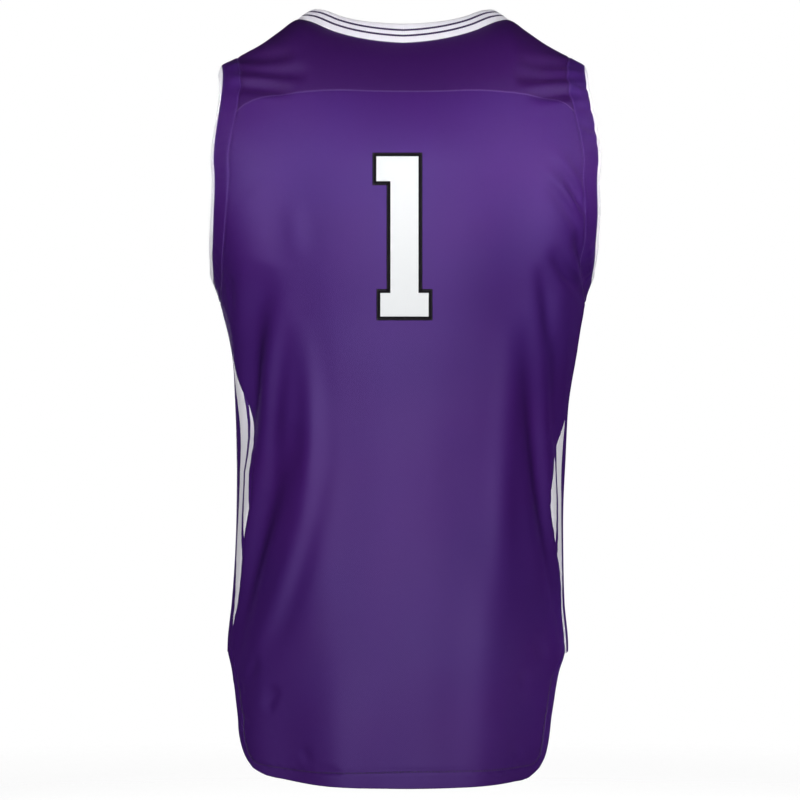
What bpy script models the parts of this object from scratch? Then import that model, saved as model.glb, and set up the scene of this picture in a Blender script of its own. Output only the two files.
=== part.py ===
"""Sleeveless basketball jersey, hollow, in the shape it takes when worn.

Units are metres, +Z is up, the front faces -Y and the wearer's left is +X. The origin lies midway between
the two high shoulder points, where the shoulder seams meet the neckband: the wearer's shoulders hold the
jersey up there. All panels lie on one common form, a torso shape with a shoulder ridge. A place on the
form is given by a turn (the angle from the centre line, 90 degrees at the side) and a rise (the distance
up from the blade or chest level, measured over the slope). Neighbouring pieces share their seam points.
"""

import math

import bmesh
import bpy
import numpy as np

MM = 0.001


def table(names, *rows):
    """A table as columns: each name holds that value of every row."""
    return dict(zip(names.split(), np.array(rows, float).T))


# Cloth
CLOTH_WALL = 1.5 * MM
HEM_WALL = 2.4 * MM
RIB_WALL = 2.0 * MM
TWILL_WALL = 1.0 * MM
SEAM_GAP = 0.3 * MM

BACK, FRONT = 1, -1
LEFT, RIGHT = 1, -1

# Torso form, in mm. Widths run from the centre line to the side, depths from the shoulder ridge.
# A higher corner value gives a squarer section.
SECTIONS = table(
    "height left right back front corner",
    (20, 230, 238, 120, 124, 2.20),
    (-150, 230, 238, 120, 124, 2.20),
    (-200, 221, 228, 122, 127, 2.20),
    (-235, 207, 209, 121, 127, 2.20),
    (-264, 190, 189, 119, 126, 2.25),
    (-300, 179, 180, 115, 124, 2.30),
    (-335, 171, 174, 112, 121, 2.30),
    (-380, 167, 166, 108, 117, 2.25),
    (-445, 166, 162, 105, 114, 2.20),
    (-520, 167, 160, 107, 113, 2.25),
    (-580, 170, 161, 111, 113, 2.30),
    (-625, 175, 165, 114, 114, 2.30),
    (-680, 172, 158, 116, 115, 2.30),
    (-780, 168, 154, 118, 115, 2.30),
)
BLADE_LEVEL = -150 * MM
CHEST_LEVEL = -200 * MM
SLOPE_RUN = 170 * MM
SLOPE_POWER = {BACK: 1.6, FRONT: 1.7}

# Height of the shoulder ridge over its distance from the centre, in mm.
RIDGE = table(
    "across height",
    (0, -4),
    (70, -3),
    (95, 1),
    (107, 0),
    (123, -11),
    (141, -23.5),
    (165, -36.5),
    (180, -44),
    (205, -57),
    (245, -85),
)

# Neck opening seen from above, and the rib band that finishes it.
NECK_HALF_WIDTH = 107 * MM
NECK_DEPTH = {BACK: 64 * MM, FRONT: 98 * MM}
NECK_CORNER = {BACK: 1.72, FRONT: 2.1}
NECKBAND_IN = {"side": 15.5 * MM, BACK: 7 * MM, FRONT: 11 * MM}
NECKBAND_RISE = {"side": 10.5 * MM, BACK: 19.5 * MM, FRONT: 17 * MM}
NECKBAND_BULGE = 0.4 * MM

# Armhole seen from the side: an oval at the rib seam (edge) and one at the inner seam of the purple band.
ARMHOLE = {
    "edge": {"top": -44.5 * MM, "bottom": -264 * MM, "back": 79 * MM, "front": 80 * MM},
    "seam": {"top": -36.8 * MM, "bottom": -282 * MM, "back": 86.5 * MM, "front": 88 * MM},
}
ARMHOLE_CENTRE = -160 * MM
ARMHOLE_CORNER = 2.2
RIB_TO_CENTRE = 12 * MM
RIB_OUTWARD = 3.5 * MM

# Back yoke seam: height in mm over the share of its half length from the centre.
YOKE_SEAM = table(
    "share height",
    (0, -80),
    (0.15, -79.8),
    (0.46, -78.5),
    (0.70, -81.5),
    (0.84, -84.5),
    (0.92, -89),
    (0.97, -94),
    (1, -99),
)

# Side seams: how far behind or before the shoulder ridge each one runs, in mm.
SIDE_SEAMS = table(
    "height back_left back_right front",
    (-278, 24, 24, 30),
    (-330, 23, 20, 31),
    (-380, 34, 22, 36),
    (-445, 52, 42, 43),
    (-470, 51, 46, 44),
    (-520, 41, 38, 42),
    (-560, 35, 28, 38),
    (-600, 29, 32, 34),
    (-630, 19, 34, 32),
)
VENT_HEIGHT = -630 * MM

# Shirt tails below the side vents, in mm: half widths of the free edge, and the hem line.
TAIL_EDGE = table(
    "height left right",
    (-644, 170.5, 154.5),
    (-660, 167, 151),
    (-676, 165, 148.5),
    (-692, 163, 146),
    (-706, 162, 144.5),
    (-719, 159, 142.5),
    (-730, 154, 139.5),
    (-739, 147, 134.5),
)
HEM = table(
    "share left right",
    (0, -754, -754),
    (0.35, -753, -753.4),
    (0.6, -751.2, -752.2),
    (0.8, -748, -750),
    (0.93, -744.4, -746.8),
    (1, -739, -739),
)
FRONT_TAIL_SHARE = 0.85

# Main folds of the cloth, in mm: both ends, bow to the side, half width of the trough, and depth. Below
# zero the cloth stands out instead.
FOLD_NAMES = "across_head height_head across_foot height_foot bow half_width depth"
FOLDS = {
    BACK: table(
        FOLD_NAMES,
        (133, -246, 156, -450, 4, 18, 8.0),
        (113, -300, 161, -606, -6, 18, 8.5),
        (-138, -246, -154, -460, -2, 18, 6.5),
        (-119, -286, -151, -588, 0, 18, 7.5),
        (168, -50, 136, -400, 4, 32, -8.0),
        (-168, -50, -136, -400, -4, 32, -8.0),
        (87, -300, 88, -640, 0, 24, -4.5),
        (-90, -280, -84, -640, 0, 24, -4.5),
        (66, -600, 50, -900, 0, 26, -4.0),
        (-88, -520, -72, -810, 0, 20, -3.0),
        (118, -640, 112, -860, 0, 24, 7.0),
        (-138, -540, -122, -830, 0, 25, 7.0),
    ),
    FRONT: table(
        FOLD_NAMES,
        (134, -275, 142, -470, -5, 20, 5.5),
        (-134, -270, -140, -455, 6, 20, 5.5),
        (96, -450, 142, -628, 4, 21, 5.0),
        (-88, -435, -134, -622, -5, 21, 5.0),
        (48, -190, 112, -330, -8, 24, 2.5),
        (-50, -200, -116, -345, 8, 24, 2.5),
        (30, -420, 52, -690, 5, 28, 2.5),
        (-34, -400, -60, -690, -5, 28, 2.5),
    ),
}
FOLD_STEPS = 17

# Block digit on the back, in mm. Its flag, towards the wearer's left, reaches a border past its foot.
DIGIT_CENTRE = -1.3
DIGIT_TOP = -144.7
DIGIT_HEIGHT = 153.7
DIGIT_STEM = 26.9
DIGIT_FOOT = 46.4
DIGIT_FLAG_HEIGHT = 23.9
DIGIT_FOOT_HEIGHT = 22.6
DIGIT_BORDER = 3.8
DIGIT_STEPS = 6

# Grid counts. Columns are for half of a piece.
SHOULDER_COLUMNS = 5
NECK_COLUMNS = {BACK: 12, FRONT: 9}
YOKE_ROWS = 4
ARMHOLE_BACK_ROWS = 13
ARMHOLE_UNDER_COLUMNS = 6
ARMHOLE_FRONT_ROWS = 15
SIDE_SEAM_ROWS = 18
DIGIT_EASE = 10

# Steps and limits of the small solvers
FINE_STEPS = 240
HALVINGS = 50
HEIGHT_ROUNDS = 12
INNERMOST = 60 * MM
NORMAL_STEP = 0.2 * MM
TINY = 1e-9

ROUGHNESS = 0.6
SHARP_ANGLE = math.radians(50)

COLOURS = {
    "purple": (0.083, 0.032, 0.178, 1),
    "white": (0.84, 0.83, 0.87, 1),
    "black": (0.012, 0.008, 0.014, 1),
}


# ---- curves through tables ----


def smooth(x, known_x, known_y):
    """A smooth curve through the known points, flat beyond them."""
    order = np.argsort(known_x)
    xs, ys = np.asarray(known_x)[order], np.asarray(known_y)[order]
    slopes = np.gradient(ys, xs)
    x = np.clip(x, xs[0], xs[-1])
    i = np.clip(np.searchsorted(xs, x) - 1, 0, len(xs) - 2)
    span = xs[i + 1] - xs[i]
    t = (x - xs[i]) / span
    return (
        (2 * t**3 - 3 * t**2 + 1) * ys[i]
        + (t**3 - 2 * t**2 + t) * span * slopes[i]
        + (3 * t**2 - 2 * t**3) * ys[i + 1]
        + (t**3 - t**2) * span * slopes[i + 1]
    )


def evenly(points, count):
    """Indices, as fractions, that cut a fine run of points into equal lengths."""
    lengths = np.linalg.norm(np.diff(points, axis=0), axis=1)
    along = np.concatenate([[0], np.cumsum(lengths)])
    return np.interp(np.linspace(0, along[-1], count + 1), along, np.arange(len(points)))


def pick(values, places):
    return np.interp(places, np.arange(len(values)), values)


# ---- the torso form ----


def section(height, side):
    """Half width, back depth, front depth and corner power of the form at a height."""
    at = np.asarray(height) / MM
    names = ("left", "right", "back", "front", "corner")
    left, right, back, front, corner = (smooth(at, SECTIONS["height"], SECTIONS[name]) for name in names)
    width = np.where(np.asarray(side) >= 0, left, right)
    return width * MM, back * MM, front * MM, corner


def ridge_height(across):
    return smooth(np.abs(across) / MM, RIDGE["across"], RIDGE["height"]) * MM


def level(face):
    return np.where(np.asarray(face) > 0, BLADE_LEVEL, CHEST_LEVEL)


def slope_power(face):
    return np.where(np.asarray(face) > 0, SLOPE_POWER[BACK], SLOPE_POWER[FRONT])


def climb(across, height, face):
    """Share of the way from the blade or chest level up to the ridge."""
    base = level(face)
    return np.clip((height - base) / (ridge_height(across) - base), 0, None)


def form_depth(across, height, face):
    """Distance of the form from the ridge plane, towards the back or the front."""
    width, back, front, corner = section(height, across)
    depth = np.where(np.asarray(face) > 0, back, front)
    flat = 1 - np.clip(np.abs(across) / width, 0, 1) ** corner
    slope = 1 - np.clip(climb(across, height, face), 0, 1) ** slope_power(face)
    return depth * (flat * slope) ** (1 / corner)


def form_across(side, depth, height):
    """How far out the form lies at a depth and a height, on one side."""
    face = np.where(np.asarray(depth) >= 0, BACK, FRONT)
    low = np.full(np.shape(depth), INNERMOST)
    high = section(height, side)[0] * np.ones(np.shape(depth))
    for _ in range(HALVINGS):
        middle = (low + high) / 2
        inside = form_depth(side * middle, height, face) > np.abs(depth)
        low, high = np.where(inside, middle, low), np.where(inside, high, middle)
    return side * low


def turn_and_rise(across, height, face):
    """The turn and the rise of a place on the form."""
    width, _, _, corner = section(height, across)
    turn = np.sign(across) * np.arcsin(np.clip(np.abs(across) / width, 0, 1) ** (corner / 2))
    share = np.clip(climb(across, height, face), 0, 1)
    slope = np.arcsin(share ** (slope_power(face) / 2)) / (math.pi / 2) * SLOPE_RUN
    return turn, np.where(height > level(face), slope, height - level(face))


def form_point(turn, rise, face):
    """Place on the form. A turn past 90 degrees goes on round to the other face."""
    turn, rise = np.asarray(turn, float), np.asarray(rise, float)
    over = np.abs(turn) > math.pi / 2
    near = np.where(over, np.sign(turn) * math.pi - turn, turn)
    face = np.where(over, -face, face)
    share = np.sin(np.clip(rise / SLOPE_RUN, 0, 1) * math.pi / 2) ** (2 / slope_power(face))
    height = level(face) + np.minimum(rise, 0)
    for _ in range(HEIGHT_ROUNDS):
        width, back, front, corner = section(height, near)
        across = np.sign(near) * width * np.abs(np.sin(near)) ** (2 / corner)
        sloped = level(face) + share * (ridge_height(across) - level(face))
        height = np.where(rise > 0, sloped, height)
    depth = np.where(face > 0, back, front) * np.abs(np.cos(near)) ** (2 / corner)
    depth = depth * (1 - share ** slope_power(face)) ** (1 / corner)
    return np.stack([across, face * depth, height], axis=-1)


def form_gap(points):
    """Below zero inside the form and above zero outside it."""
    across, depth, height = np.moveaxis(points, -1, 0)
    face = np.where(depth >= 0, BACK, FRONT)
    width, back, front, corner = section(height, across)
    reach = np.where(face > 0, back, front)
    flat = 1 - (np.abs(across) / width) ** corner
    slope = 1 - climb(across, height, face) ** slope_power(face)
    return (np.abs(depth) / reach) ** corner - flat * slope


def outward(points):
    """Unit normals of the form, by differences."""
    steps = np.eye(3) * NORMAL_STEP
    slopes = [form_gap(points + step) - form_gap(points - step) for step in steps]
    normal = np.stack(slopes, axis=-1)
    return normal / np.linalg.norm(normal, axis=-1, keepdims=True)


# ---- folds ----


def fold_line(fold, face):
    """Points of a fold's trough on the form."""
    t = np.linspace(0, 1, FOLD_STEPS)
    bow = fold["bow"] * 4 * t * (1 - t)
    across = (fold["across_head"] * (1 - t) + fold["across_foot"] * t + bow) * MM
    height = (fold["height_head"] * (1 - t) + fold["height_foot"] * t) * MM
    return np.stack([across, face * form_depth(across, height, face), height], axis=-1)


def fold_depth(points):
    """How far the folds push each point in (below zero) or out (above zero)."""
    moved = np.zeros(points.shape[:-1])
    for face, folds in FOLDS.items():
        for row in zip(*folds.values()):
            fold = dict(zip(folds, row))
            line = fold_line(fold, face)
            half_width, depth = fold["half_width"] * MM, fold["depth"] * MM
            start, run = line[:-1], np.diff(line, axis=0)
            to_start = points[..., None, :] - start
            t = np.clip((to_start * run).sum(-1) / (run * run).sum(-1), 0, 1)
            distance = np.linalg.norm(to_start - t[..., None] * run, axis=-1)
            nearest = distance.argmin(-1)
            away = np.take_along_axis(distance, nearest[..., None], -1)[..., 0] / half_width
            along = (nearest + np.take_along_axis(t, nearest[..., None], -1)[..., 0]) / (FOLD_STEPS - 1)
            taper = np.sin(np.pi * along)
            moved -= depth * taper * (1 - away**2 / 2) * np.exp(-(away**2) / 2)
    return moved


def cloth_point(turn, rise, face):
    """Outer cloth points and their normals, folds included."""
    base = form_point(turn, rise, face)
    normal = outward(base)
    return base + normal * fold_depth(base)[..., None], normal


# ---- seam lines, as turns and rises ----


def armhole_oval(angle, ring):
    """Depth and height on the armhole seen from the side. Angle 0 is the shoulder, 90 degrees the back."""
    oval = ARMHOLE[ring]
    power = 2 / ARMHOLE_CORNER
    sine, cosine = np.sin(angle), np.cos(angle)
    depth = np.where(sine >= 0, oval["back"], -oval["front"]) * np.abs(sine) ** power
    end = np.where(cosine >= 0, oval["top"], oval["bottom"])
    return depth, ARMHOLE_CENTRE + (end - ARMHOLE_CENTRE) * np.abs(cosine) ** power


def armhole_places(angle, ring, side):
    """Turn (past 90 degrees on the front), rise and face of armhole points."""
    depth, height = armhole_oval(angle, ring)
    face = np.where(np.sin(angle) >= -TINY, BACK, FRONT)
    across = form_across(side, depth, height)
    turn, rise = turn_and_rise(across, height, face)
    return turn, rise, face


def even_angles(first, last, count):
    """Angles that cut a stretch of the armhole seam into equal lengths."""
    angle = np.linspace(first, last, FINE_STEPS)
    depth, height = armhole_oval(angle, "seam")
    points = np.stack([form_across(LEFT, depth, height), depth, height], axis=-1)
    return pick(angle, evenly(points, count))


def angle_at(find, wanted, first, last):
    """The armhole angle between first and last at which a measure reaches the wanted value."""
    angle = np.linspace(first, last, FINE_STEPS)
    values = find(*armhole_oval(angle, "seam"))
    order = np.argsort(values)
    return float(np.interp(wanted, values[order], angle[order]))


def side_seam(height, side, face):
    """Turn of the side seam at a height, measured on its own face."""
    name = "front" if face == FRONT else "back_left" if side == LEFT else "back_right"
    depth = smooth(height / MM, SIDE_SEAMS["height"], SIDE_SEAMS[name]) * MM
    across = form_across(side, face * depth, height)
    return turn_and_rise(across, height, face)[0]


def neck_curve(face):
    """Turn and rise along the neck seam of one face, from the wearer's left to the right."""
    angle = np.linspace(0, math.pi, FINE_STEPS)
    power = 2 / NECK_CORNER[face]
    across = NECK_HALF_WIDTH * np.sign(np.cos(angle)) * np.abs(np.cos(angle)) ** power
    depth = NECK_DEPTH[face] * np.sin(angle) ** power
    rise = rise_at(across, depth, face)
    turn = turn_and_rise(across, 0 * across, face)[0]
    places = evenly(form_point(turn, rise, face), 2 * NECK_COLUMNS[face])
    return pick(turn, places), pick(rise, places)


def rise_at(across, depth, face):
    """Rise at which the form, over a place seen from above, has the given depth."""
    low, high = np.zeros(across.shape), np.full(across.shape, SLOPE_RUN)
    turn = turn_and_rise(across, 0 * across, face)[0]
    for _ in range(HALVINGS):
        middle = (low + high) / 2
        outside = np.abs(form_point(turn, middle, face)[..., 1]) > depth
        low, high = np.where(outside, middle, low), np.where(outside, high, middle)
    return low


def ridge_run(first, last, face, count):
    """Turn and rise along the shoulder ridge between two turns."""
    turn = np.linspace(first, last, FINE_STEPS)
    rise = np.full(FINE_STEPS, SLOPE_RUN)
    places = evenly(form_point(turn, rise, face), count)
    return pick(turn, places), pick(rise, places)


def top_line(face):
    """Shoulder seam, neck seam and shoulder seam of one face, from left to right."""
    tips = [float(armhole_places(np.array([0.0]), "seam", side)[0][0]) for side in (LEFT, RIGHT)]
    neck_turn, neck_rise = neck_curve(face)
    left = ridge_run(tips[0], neck_turn[0], face, SHOULDER_COLUMNS)
    right = ridge_run(neck_turn[-1], tips[1], face, SHOULDER_COLUMNS)
    turn = np.concatenate([left[0][:-1], neck_turn, right[0][1:]])
    rise = np.concatenate([left[1][:-1], neck_rise, right[1][1:]])
    return turn, rise


def across_line(first, last, share, left, right, face, count):
    """Turn and rise along a line over one face between two places.

    Left and right are the line's heights on each side, at the given shares of that side's length.
    """
    across = np.linspace(first, last, 2 * FINE_STEPS)
    along = np.abs(across) / np.where(across >= 0, abs(first), abs(last))
    height = np.where(across >= 0, smooth(along, share, left), smooth(along, share, right))
    turn, rise = turn_and_rise(across, height, face)
    places = evenly(form_point(turn, rise, face), count)
    return pick(turn, places), pick(rise, places)


def tail_edge(side, face):
    """Turn and rise down the free edge of a shirt tail, and how far out its corner lies."""
    across = TAIL_EDGE["left" if side == LEFT else "right"] * MM * side
    height = tail_height(TAIL_EDGE["height"] * MM, face)
    turn, rise = turn_and_rise(across, height, face)
    return turn, rise, across[-1]


def tail_height(height, face):
    """The front tail is shorter: its heights are drawn up towards the vent."""
    return height if face == BACK else VENT_HEIGHT + (height - VENT_HEIGHT) * FRONT_TAIL_SHARE


# ---- solids ----


def coons(top, bottom, first, last):
    """Fills four edges with a grid of (turn, rise) places. Rows follow the first edge's rise."""
    top, bottom, first, last = (np.stack(edge, axis=-1) for edge in (top, bottom, first, last))
    down = ((first[:, 1] - first[0, 1]) / (first[-1, 1] - first[0, 1]))[:, None, None]
    over = np.linspace(0, 1, len(top))[None, :, None]
    between = (1 - down) * top[None] + down * bottom[None]
    beside = (1 - over) * first[:, None] + over * last[:, None]
    corners = (1 - down) * ((1 - over) * top[0] + over * top[-1]) + down * (
        (1 - over) * bottom[0] + over * bottom[-1]
    )
    grid = between + beside - corners
    return grid[..., 0], grid[..., 1]


def pull_in(points, ring=False):
    """Moves the edges of a grid of points in by half the seam gap."""
    moved = points.copy()
    edges = [(np.s_[0], np.s_[1]), (np.s_[-1], np.s_[-2])]
    if not ring:
        edges += [(np.s_[:, 0], np.s_[:, 1]), (np.s_[:, -1], np.s_[:, -2])]
    for edge, inner in edges:
        way = points[inner] - points[edge]
        moved[edge] += way / np.linalg.norm(way, axis=-1, keepdims=True) * SEAM_GAP / 2
    return moved


def material(colour):
    name = "cloth_" + colour
    made = bpy.data.materials.get(name) or bpy.data.materials.new(name)
    made.use_nodes = True
    shader = made.node_tree.nodes["Principled BSDF"]
    shader.inputs["Base Color"].default_value = COLOURS[colour]
    shader.inputs["Roughness"].default_value = ROUGHNESS
    shader.inputs["Metallic"].default_value = 0
    return made


def grid_normals(points, ring=False):
    """Unit normals of a grid from its own points: columns crossed with rows."""
    if ring:
        around = np.roll(points, -1, axis=1) - np.roll(points, 1, axis=1)
    else:
        around = np.gradient(points, axis=1)
    normal = np.cross(around, np.gradient(points, axis=0))
    return normal / np.linalg.norm(normal, axis=-1, keepdims=True)


def halves(corners, normal):
    """Cuts a cell along the diagonal over which the cloth bends least."""
    a, b, c, d = corners
    if normal[a] @ normal[c] >= normal[b] @ normal[d]:
        return (a, b, c), (a, c, d)
    return (a, b, d), (b, c, d)


def cloth_solid(name, outer, inner, colour, ring=False, cells=None):
    """A wall between two grids of points. A ring closes on itself along its columns."""
    rows, count = outer.shape[:2]
    normal = grid_normals(outer, ring)
    mesh = bmesh.new()
    layers = [[[mesh.verts.new(p) for p in row] for row in grid] for grid in (outer, inner)]
    last = count if ring else count - 1
    filled = [(r, c) for r in range(rows - 1) for c in range(last) if cells is None or cells[r][c]]
    for r, c in filled:
        n = (c + 1) % count
        corners = [(r, c), (r, n), (r + 1, n), (r + 1, c)]
        for half in halves(corners, normal):
            mesh.faces.new([layers[0][i][j] for i, j in half])
            mesh.faces.new([layers[1][i][j] for i, j in reversed(half)])
        before = (c - 1) % count if ring else c - 1
        beside = [(r - 1, c), (r, n if ring else c + 1), (r + 1, c), (r, before)]
        for k, neighbour in enumerate(beside):
            if neighbour not in filled:
                (i, j), (p, q) = corners[k], corners[(k + 1) % 4]
                mesh.faces.new([layers[0][p][q], layers[0][i][j], layers[1][i][j], layers[1][p][q]])
    for vert in [v for v in mesh.verts if not v.link_faces]:
        mesh.verts.remove(vert)
    bmesh.ops.recalc_face_normals(mesh, faces=mesh.faces)
    data = bpy.data.meshes.new(name)
    mesh.to_mesh(data)
    mesh.free()
    data.materials.append(material(colour))
    data.shade_smooth()
    data.set_sharp_from_angle(angle=SHARP_ANGLE)
    made = bpy.data.objects.new(name, data)
    bpy.context.collection.objects.link(made)
    return made


def panel(name, turn, rise, face, wall=CLOTH_WALL):
    """A cloth panel over a grid of places. The wall may be one thickness or one for each point."""
    points, normal = cloth_point(turn, rise, face)
    outer = pull_in(points)
    thickness = wall[..., None] if np.ndim(wall) else wall
    cloth_solid(name, outer, outer - normal * thickness, "purple")
    return outer, normal


# ---- the pieces ----


def armhole_angles():
    """Angles round the armhole seam, in stretches: yoke, back, under the arm and front."""
    yoke_end = YOKE_SEAM["height"][-1] * MM
    seam_back, seam_front = SIDE_SEAMS["back_left"][0] * MM, -SIDE_SEAMS["front"][0] * MM
    yoke = angle_at(lambda depth, height: height, yoke_end, 0, math.pi / 2)
    under = angle_at(lambda depth, height: depth, seam_back, math.pi / 2, math.pi)
    front = angle_at(lambda depth, height: depth, seam_front, math.pi, 1.5 * math.pi)
    return (
        even_angles(0, yoke, YOKE_ROWS),
        even_angles(yoke, under, ARMHOLE_BACK_ROWS),
        even_angles(under, front, ARMHOLE_UNDER_COLUMNS),
        even_angles(front, 2 * math.pi, ARMHOLE_FRONT_ROWS),
    )


def body_edge(side, face, angles):
    """Side edge of a body panel: armhole seam, side seam and tail, from the top down."""
    turn, rise, _ = armhole_places(angles, "seam", side)
    corner_height = float(form_point(turn[-1], rise[-1], face)[2])
    heights = np.linspace(corner_height, VENT_HEIGHT, SIDE_SEAM_ROWS + 1)[1:]
    seam = side_seam(heights, side, face)
    tail_turn, tail_rise, corner = tail_edge(side, face)
    return (
        np.concatenate([turn, seam, tail_turn]),
        np.concatenate([rise, heights - level(face), tail_rise]),
        corner,
    )


def body_panel(name, face, top, angles):
    """Back or front panel with its shirt tail, hemmed at the vents and along the foot."""
    left = body_edge(LEFT, face, angles)
    right = body_edge(RIGHT, face, angles)
    hem = [tail_height(HEM[name] * MM, face) for name in ("left", "right")]
    foot = across_line(left[2], right[2], HEM["share"], *hem, face, len(top[0]) - 1)
    turn, rise = coons(top, foot, left[:2], right[:2])
    if face == BACK:
        turn, rise = fit_digit(turn, rise)
    wall = np.full(turn.shape, CLOTH_WALL)
    wall[-1] = HEM_WALL
    wall[-len(TAIL_EDGE["height"]) :, [0, -1]] = HEM_WALL
    return panel(name, turn, rise, face, wall)


def back_pieces(yoke_angles, back_angles):
    """The yoke over the shoulder blades and the long back panel under it."""
    edges = [armhole_places(yoke_angles, "seam", side) for side in (LEFT, RIGHT)]
    ends = [float(form_point(turn[-1], rise[-1], BACK)[0]) for turn, rise, _ in edges]
    height = YOKE_SEAM["height"] * MM
    count = 2 * (SHOULDER_COLUMNS + NECK_COLUMNS[BACK])
    seam = across_line(*ends, YOKE_SEAM["share"], height, height, BACK, count)
    turn, rise = coons(top_line(BACK), seam, edges[0][:2], edges[1][:2])
    panel("back_yoke", turn, rise, BACK)
    digit_pieces(*body_panel("back_panel", BACK, seam, back_angles))


def side_piece(name, side, under_angles):
    """Side panel between the back and front side seams, from the armhole to the vent."""
    turn, rise, face = armhole_places(under_angles, "seam", side)
    over = np.where(face == FRONT, side * math.pi - turn, turn)
    height = np.where(face == FRONT, rise + CHEST_LEVEL, rise + BLADE_LEVEL)
    top = (over, height - BLADE_LEVEL)
    edges = []
    for face, first in ((BACK, height[0]), (FRONT, height[-1])):
        heights = np.linspace(first, VENT_HEIGHT, SIDE_SEAM_ROWS + 1)
        seam = side_seam(heights, side, face)
        edges.append((seam if face == BACK else side * math.pi - seam, heights - BLADE_LEVEL))
    foot_turn = np.linspace(edges[0][0][-1], edges[1][0][-1], ARMHOLE_UNDER_COLUMNS + 1)
    foot = (foot_turn, np.full(foot_turn.shape, VENT_HEIGHT - BLADE_LEVEL))
    turn, height = coons(top, foot, *edges)
    rise = np.where(np.abs(turn) > math.pi / 2, height + BLADE_LEVEL - CHEST_LEVEL, height)
    panel(name, turn, rise, BACK)


def rib_solid(name, rows, seam_normal, way):
    """A ring of rib whose rows start at a seam. There its wall runs along the sewn panel's own normal."""
    outer = pull_in(np.stack(rows), ring=True)
    normal = way * grid_normals(outer, ring=True)
    normal[0] = seam_normal
    cloth_solid(name, outer, outer - normal * RIB_WALL, "white", ring=True)


def armhole_band(name, side, angles):
    """Purple band round the armhole, between the panels and the rib."""
    places = [armhole_places(angles, ring, side) for ring in ("edge", "seam")]
    shares = np.array([0, 0.5, 1])[:, None]
    turn = places[0][0] * (1 - shares) + places[1][0] * shares
    rise = places[0][1] * (1 - shares) + places[1][1] * shares
    points, normal = cloth_point(turn, rise, np.broadcast_to(places[0][2], turn.shape))
    outer = pull_in(points, ring=True)
    cloth_solid(name, outer, outer - normal * CLOTH_WALL, "purple", ring=True)


def armhole_rib(name, side, angles):
    """White rib that runs on from the band and turns in towards the middle of the armhole."""
    turn, rise, face = armhole_places(angles, "edge", side)
    edge, edge_normal = cloth_point(turn, rise, face)
    inward = -np.stack([np.zeros(len(edge)), edge[:, 1], edge[:, 2] - ARMHOLE_CENTRE], axis=-1)
    inward /= np.linalg.norm(inward, axis=-1, keepdims=True)
    out = np.array([side, 0, 0])
    rows = [
        edge + inward * RIB_TO_CENTRE * share + out * RIB_OUTWARD * math.sin(share * math.pi / 2)
        for share in (0, 0.5, 1)
    ]
    rib_solid(name, rows, edge_normal, -side)


def neckband():
    """Ribbed band that stands up from the neck seam."""
    back_turn, back_rise = neck_curve(BACK)
    front_turn, front_rise = neck_curve(FRONT)
    back = cloth_point(back_turn, back_rise, BACK)
    front = cloth_point(front_turn[::-1], front_rise[::-1], FRONT)
    seam, seam_normal = (np.concatenate([rear[:-1], fore[:-1]]) for rear, fore in zip(back, front))
    depth = seam[:, 1]
    middle = np.where(depth > 0, depth / NECK_DEPTH[BACK], depth / NECK_DEPTH[FRONT]) ** 2
    go_in, go_up = (
        sizes["side"] + (np.where(depth > 0, sizes[BACK], sizes[FRONT]) - sizes["side"]) * middle
        for sizes in (NECKBAND_IN, NECKBAND_RISE)
    )
    to_axis = -seam * (1, 1, 0)
    to_axis /= np.linalg.norm(to_axis, axis=-1, keepdims=True)
    up = np.array([0, 0, 1])
    rows = []
    for share in (0, 0.5, 1):
        bulge = NECKBAND_BULGE * math.sin(share * math.pi)
        inward, upward = go_in * share - bulge, go_up * share + bulge
        rows.append(seam + to_axis * inward[:, None] + up * upward[:, None])
    rib_solid("neckband", rows, seam_normal, 1)


def digit_boxes(border):
    """Rectangles of the block digit, as (left, right, top, foot) in mm."""
    stem, foot = DIGIT_STEM / 2 + border, DIGIT_FOOT / 2 + border
    top, bottom = DIGIT_TOP + border, DIGIT_TOP - DIGIT_HEIGHT - border
    boxes = (
        (stem, -stem, top, bottom),
        (foot + DIGIT_BORDER, -stem, top, DIGIT_TOP - DIGIT_FLAG_HEIGHT - border),
        (foot, -foot, bottom + DIGIT_FOOT_HEIGHT + 2 * border, bottom),
    )
    return [(DIGIT_CENTRE + left, DIGIT_CENTRE + right, high, low) for left, right, high, low in boxes]


def digit_lines():
    """Places across and heights of the grid lines that the digit needs, in mm."""
    boxes = np.array(digit_boxes(DIGIT_BORDER) + digit_boxes(0))
    across = np.unique(boxes[:, :2].round(3))[::-1]
    edges = np.unique(boxes[:, 2:].round(3))[::-1]
    middle = len(edges) // 2
    stem = np.linspace(edges[middle - 1], edges[middle], DIGIT_STEPS + 1)[1:-1]
    return across, np.concatenate([edges[:middle], stem, edges[middle:]])


def digit_window(points):
    """First row and column of the panel's grid that the digit takes over."""
    across, heights = digit_lines()
    centre = np.abs(points[0, :, 0]).argmin()
    row = np.abs(points[:, centre, 2] - heights[0] * MM).argmin()
    column = np.abs(points[row, :, 0] - across[0] * MM).argmin()
    return row, column


def ease(count, first, last):
    """One inside a stretch of grid lines, falling to nothing at the edge or DIGIT_EASE lines away."""
    line = np.arange(count)
    before = (line - max(0, first - DIGIT_EASE)) / min(first, DIGIT_EASE)
    after = (min(count - 1, last + DIGIT_EASE) - line) / min(count - 1 - last, DIGIT_EASE)
    return np.clip(np.minimum(before, after), 0, 1)


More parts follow.
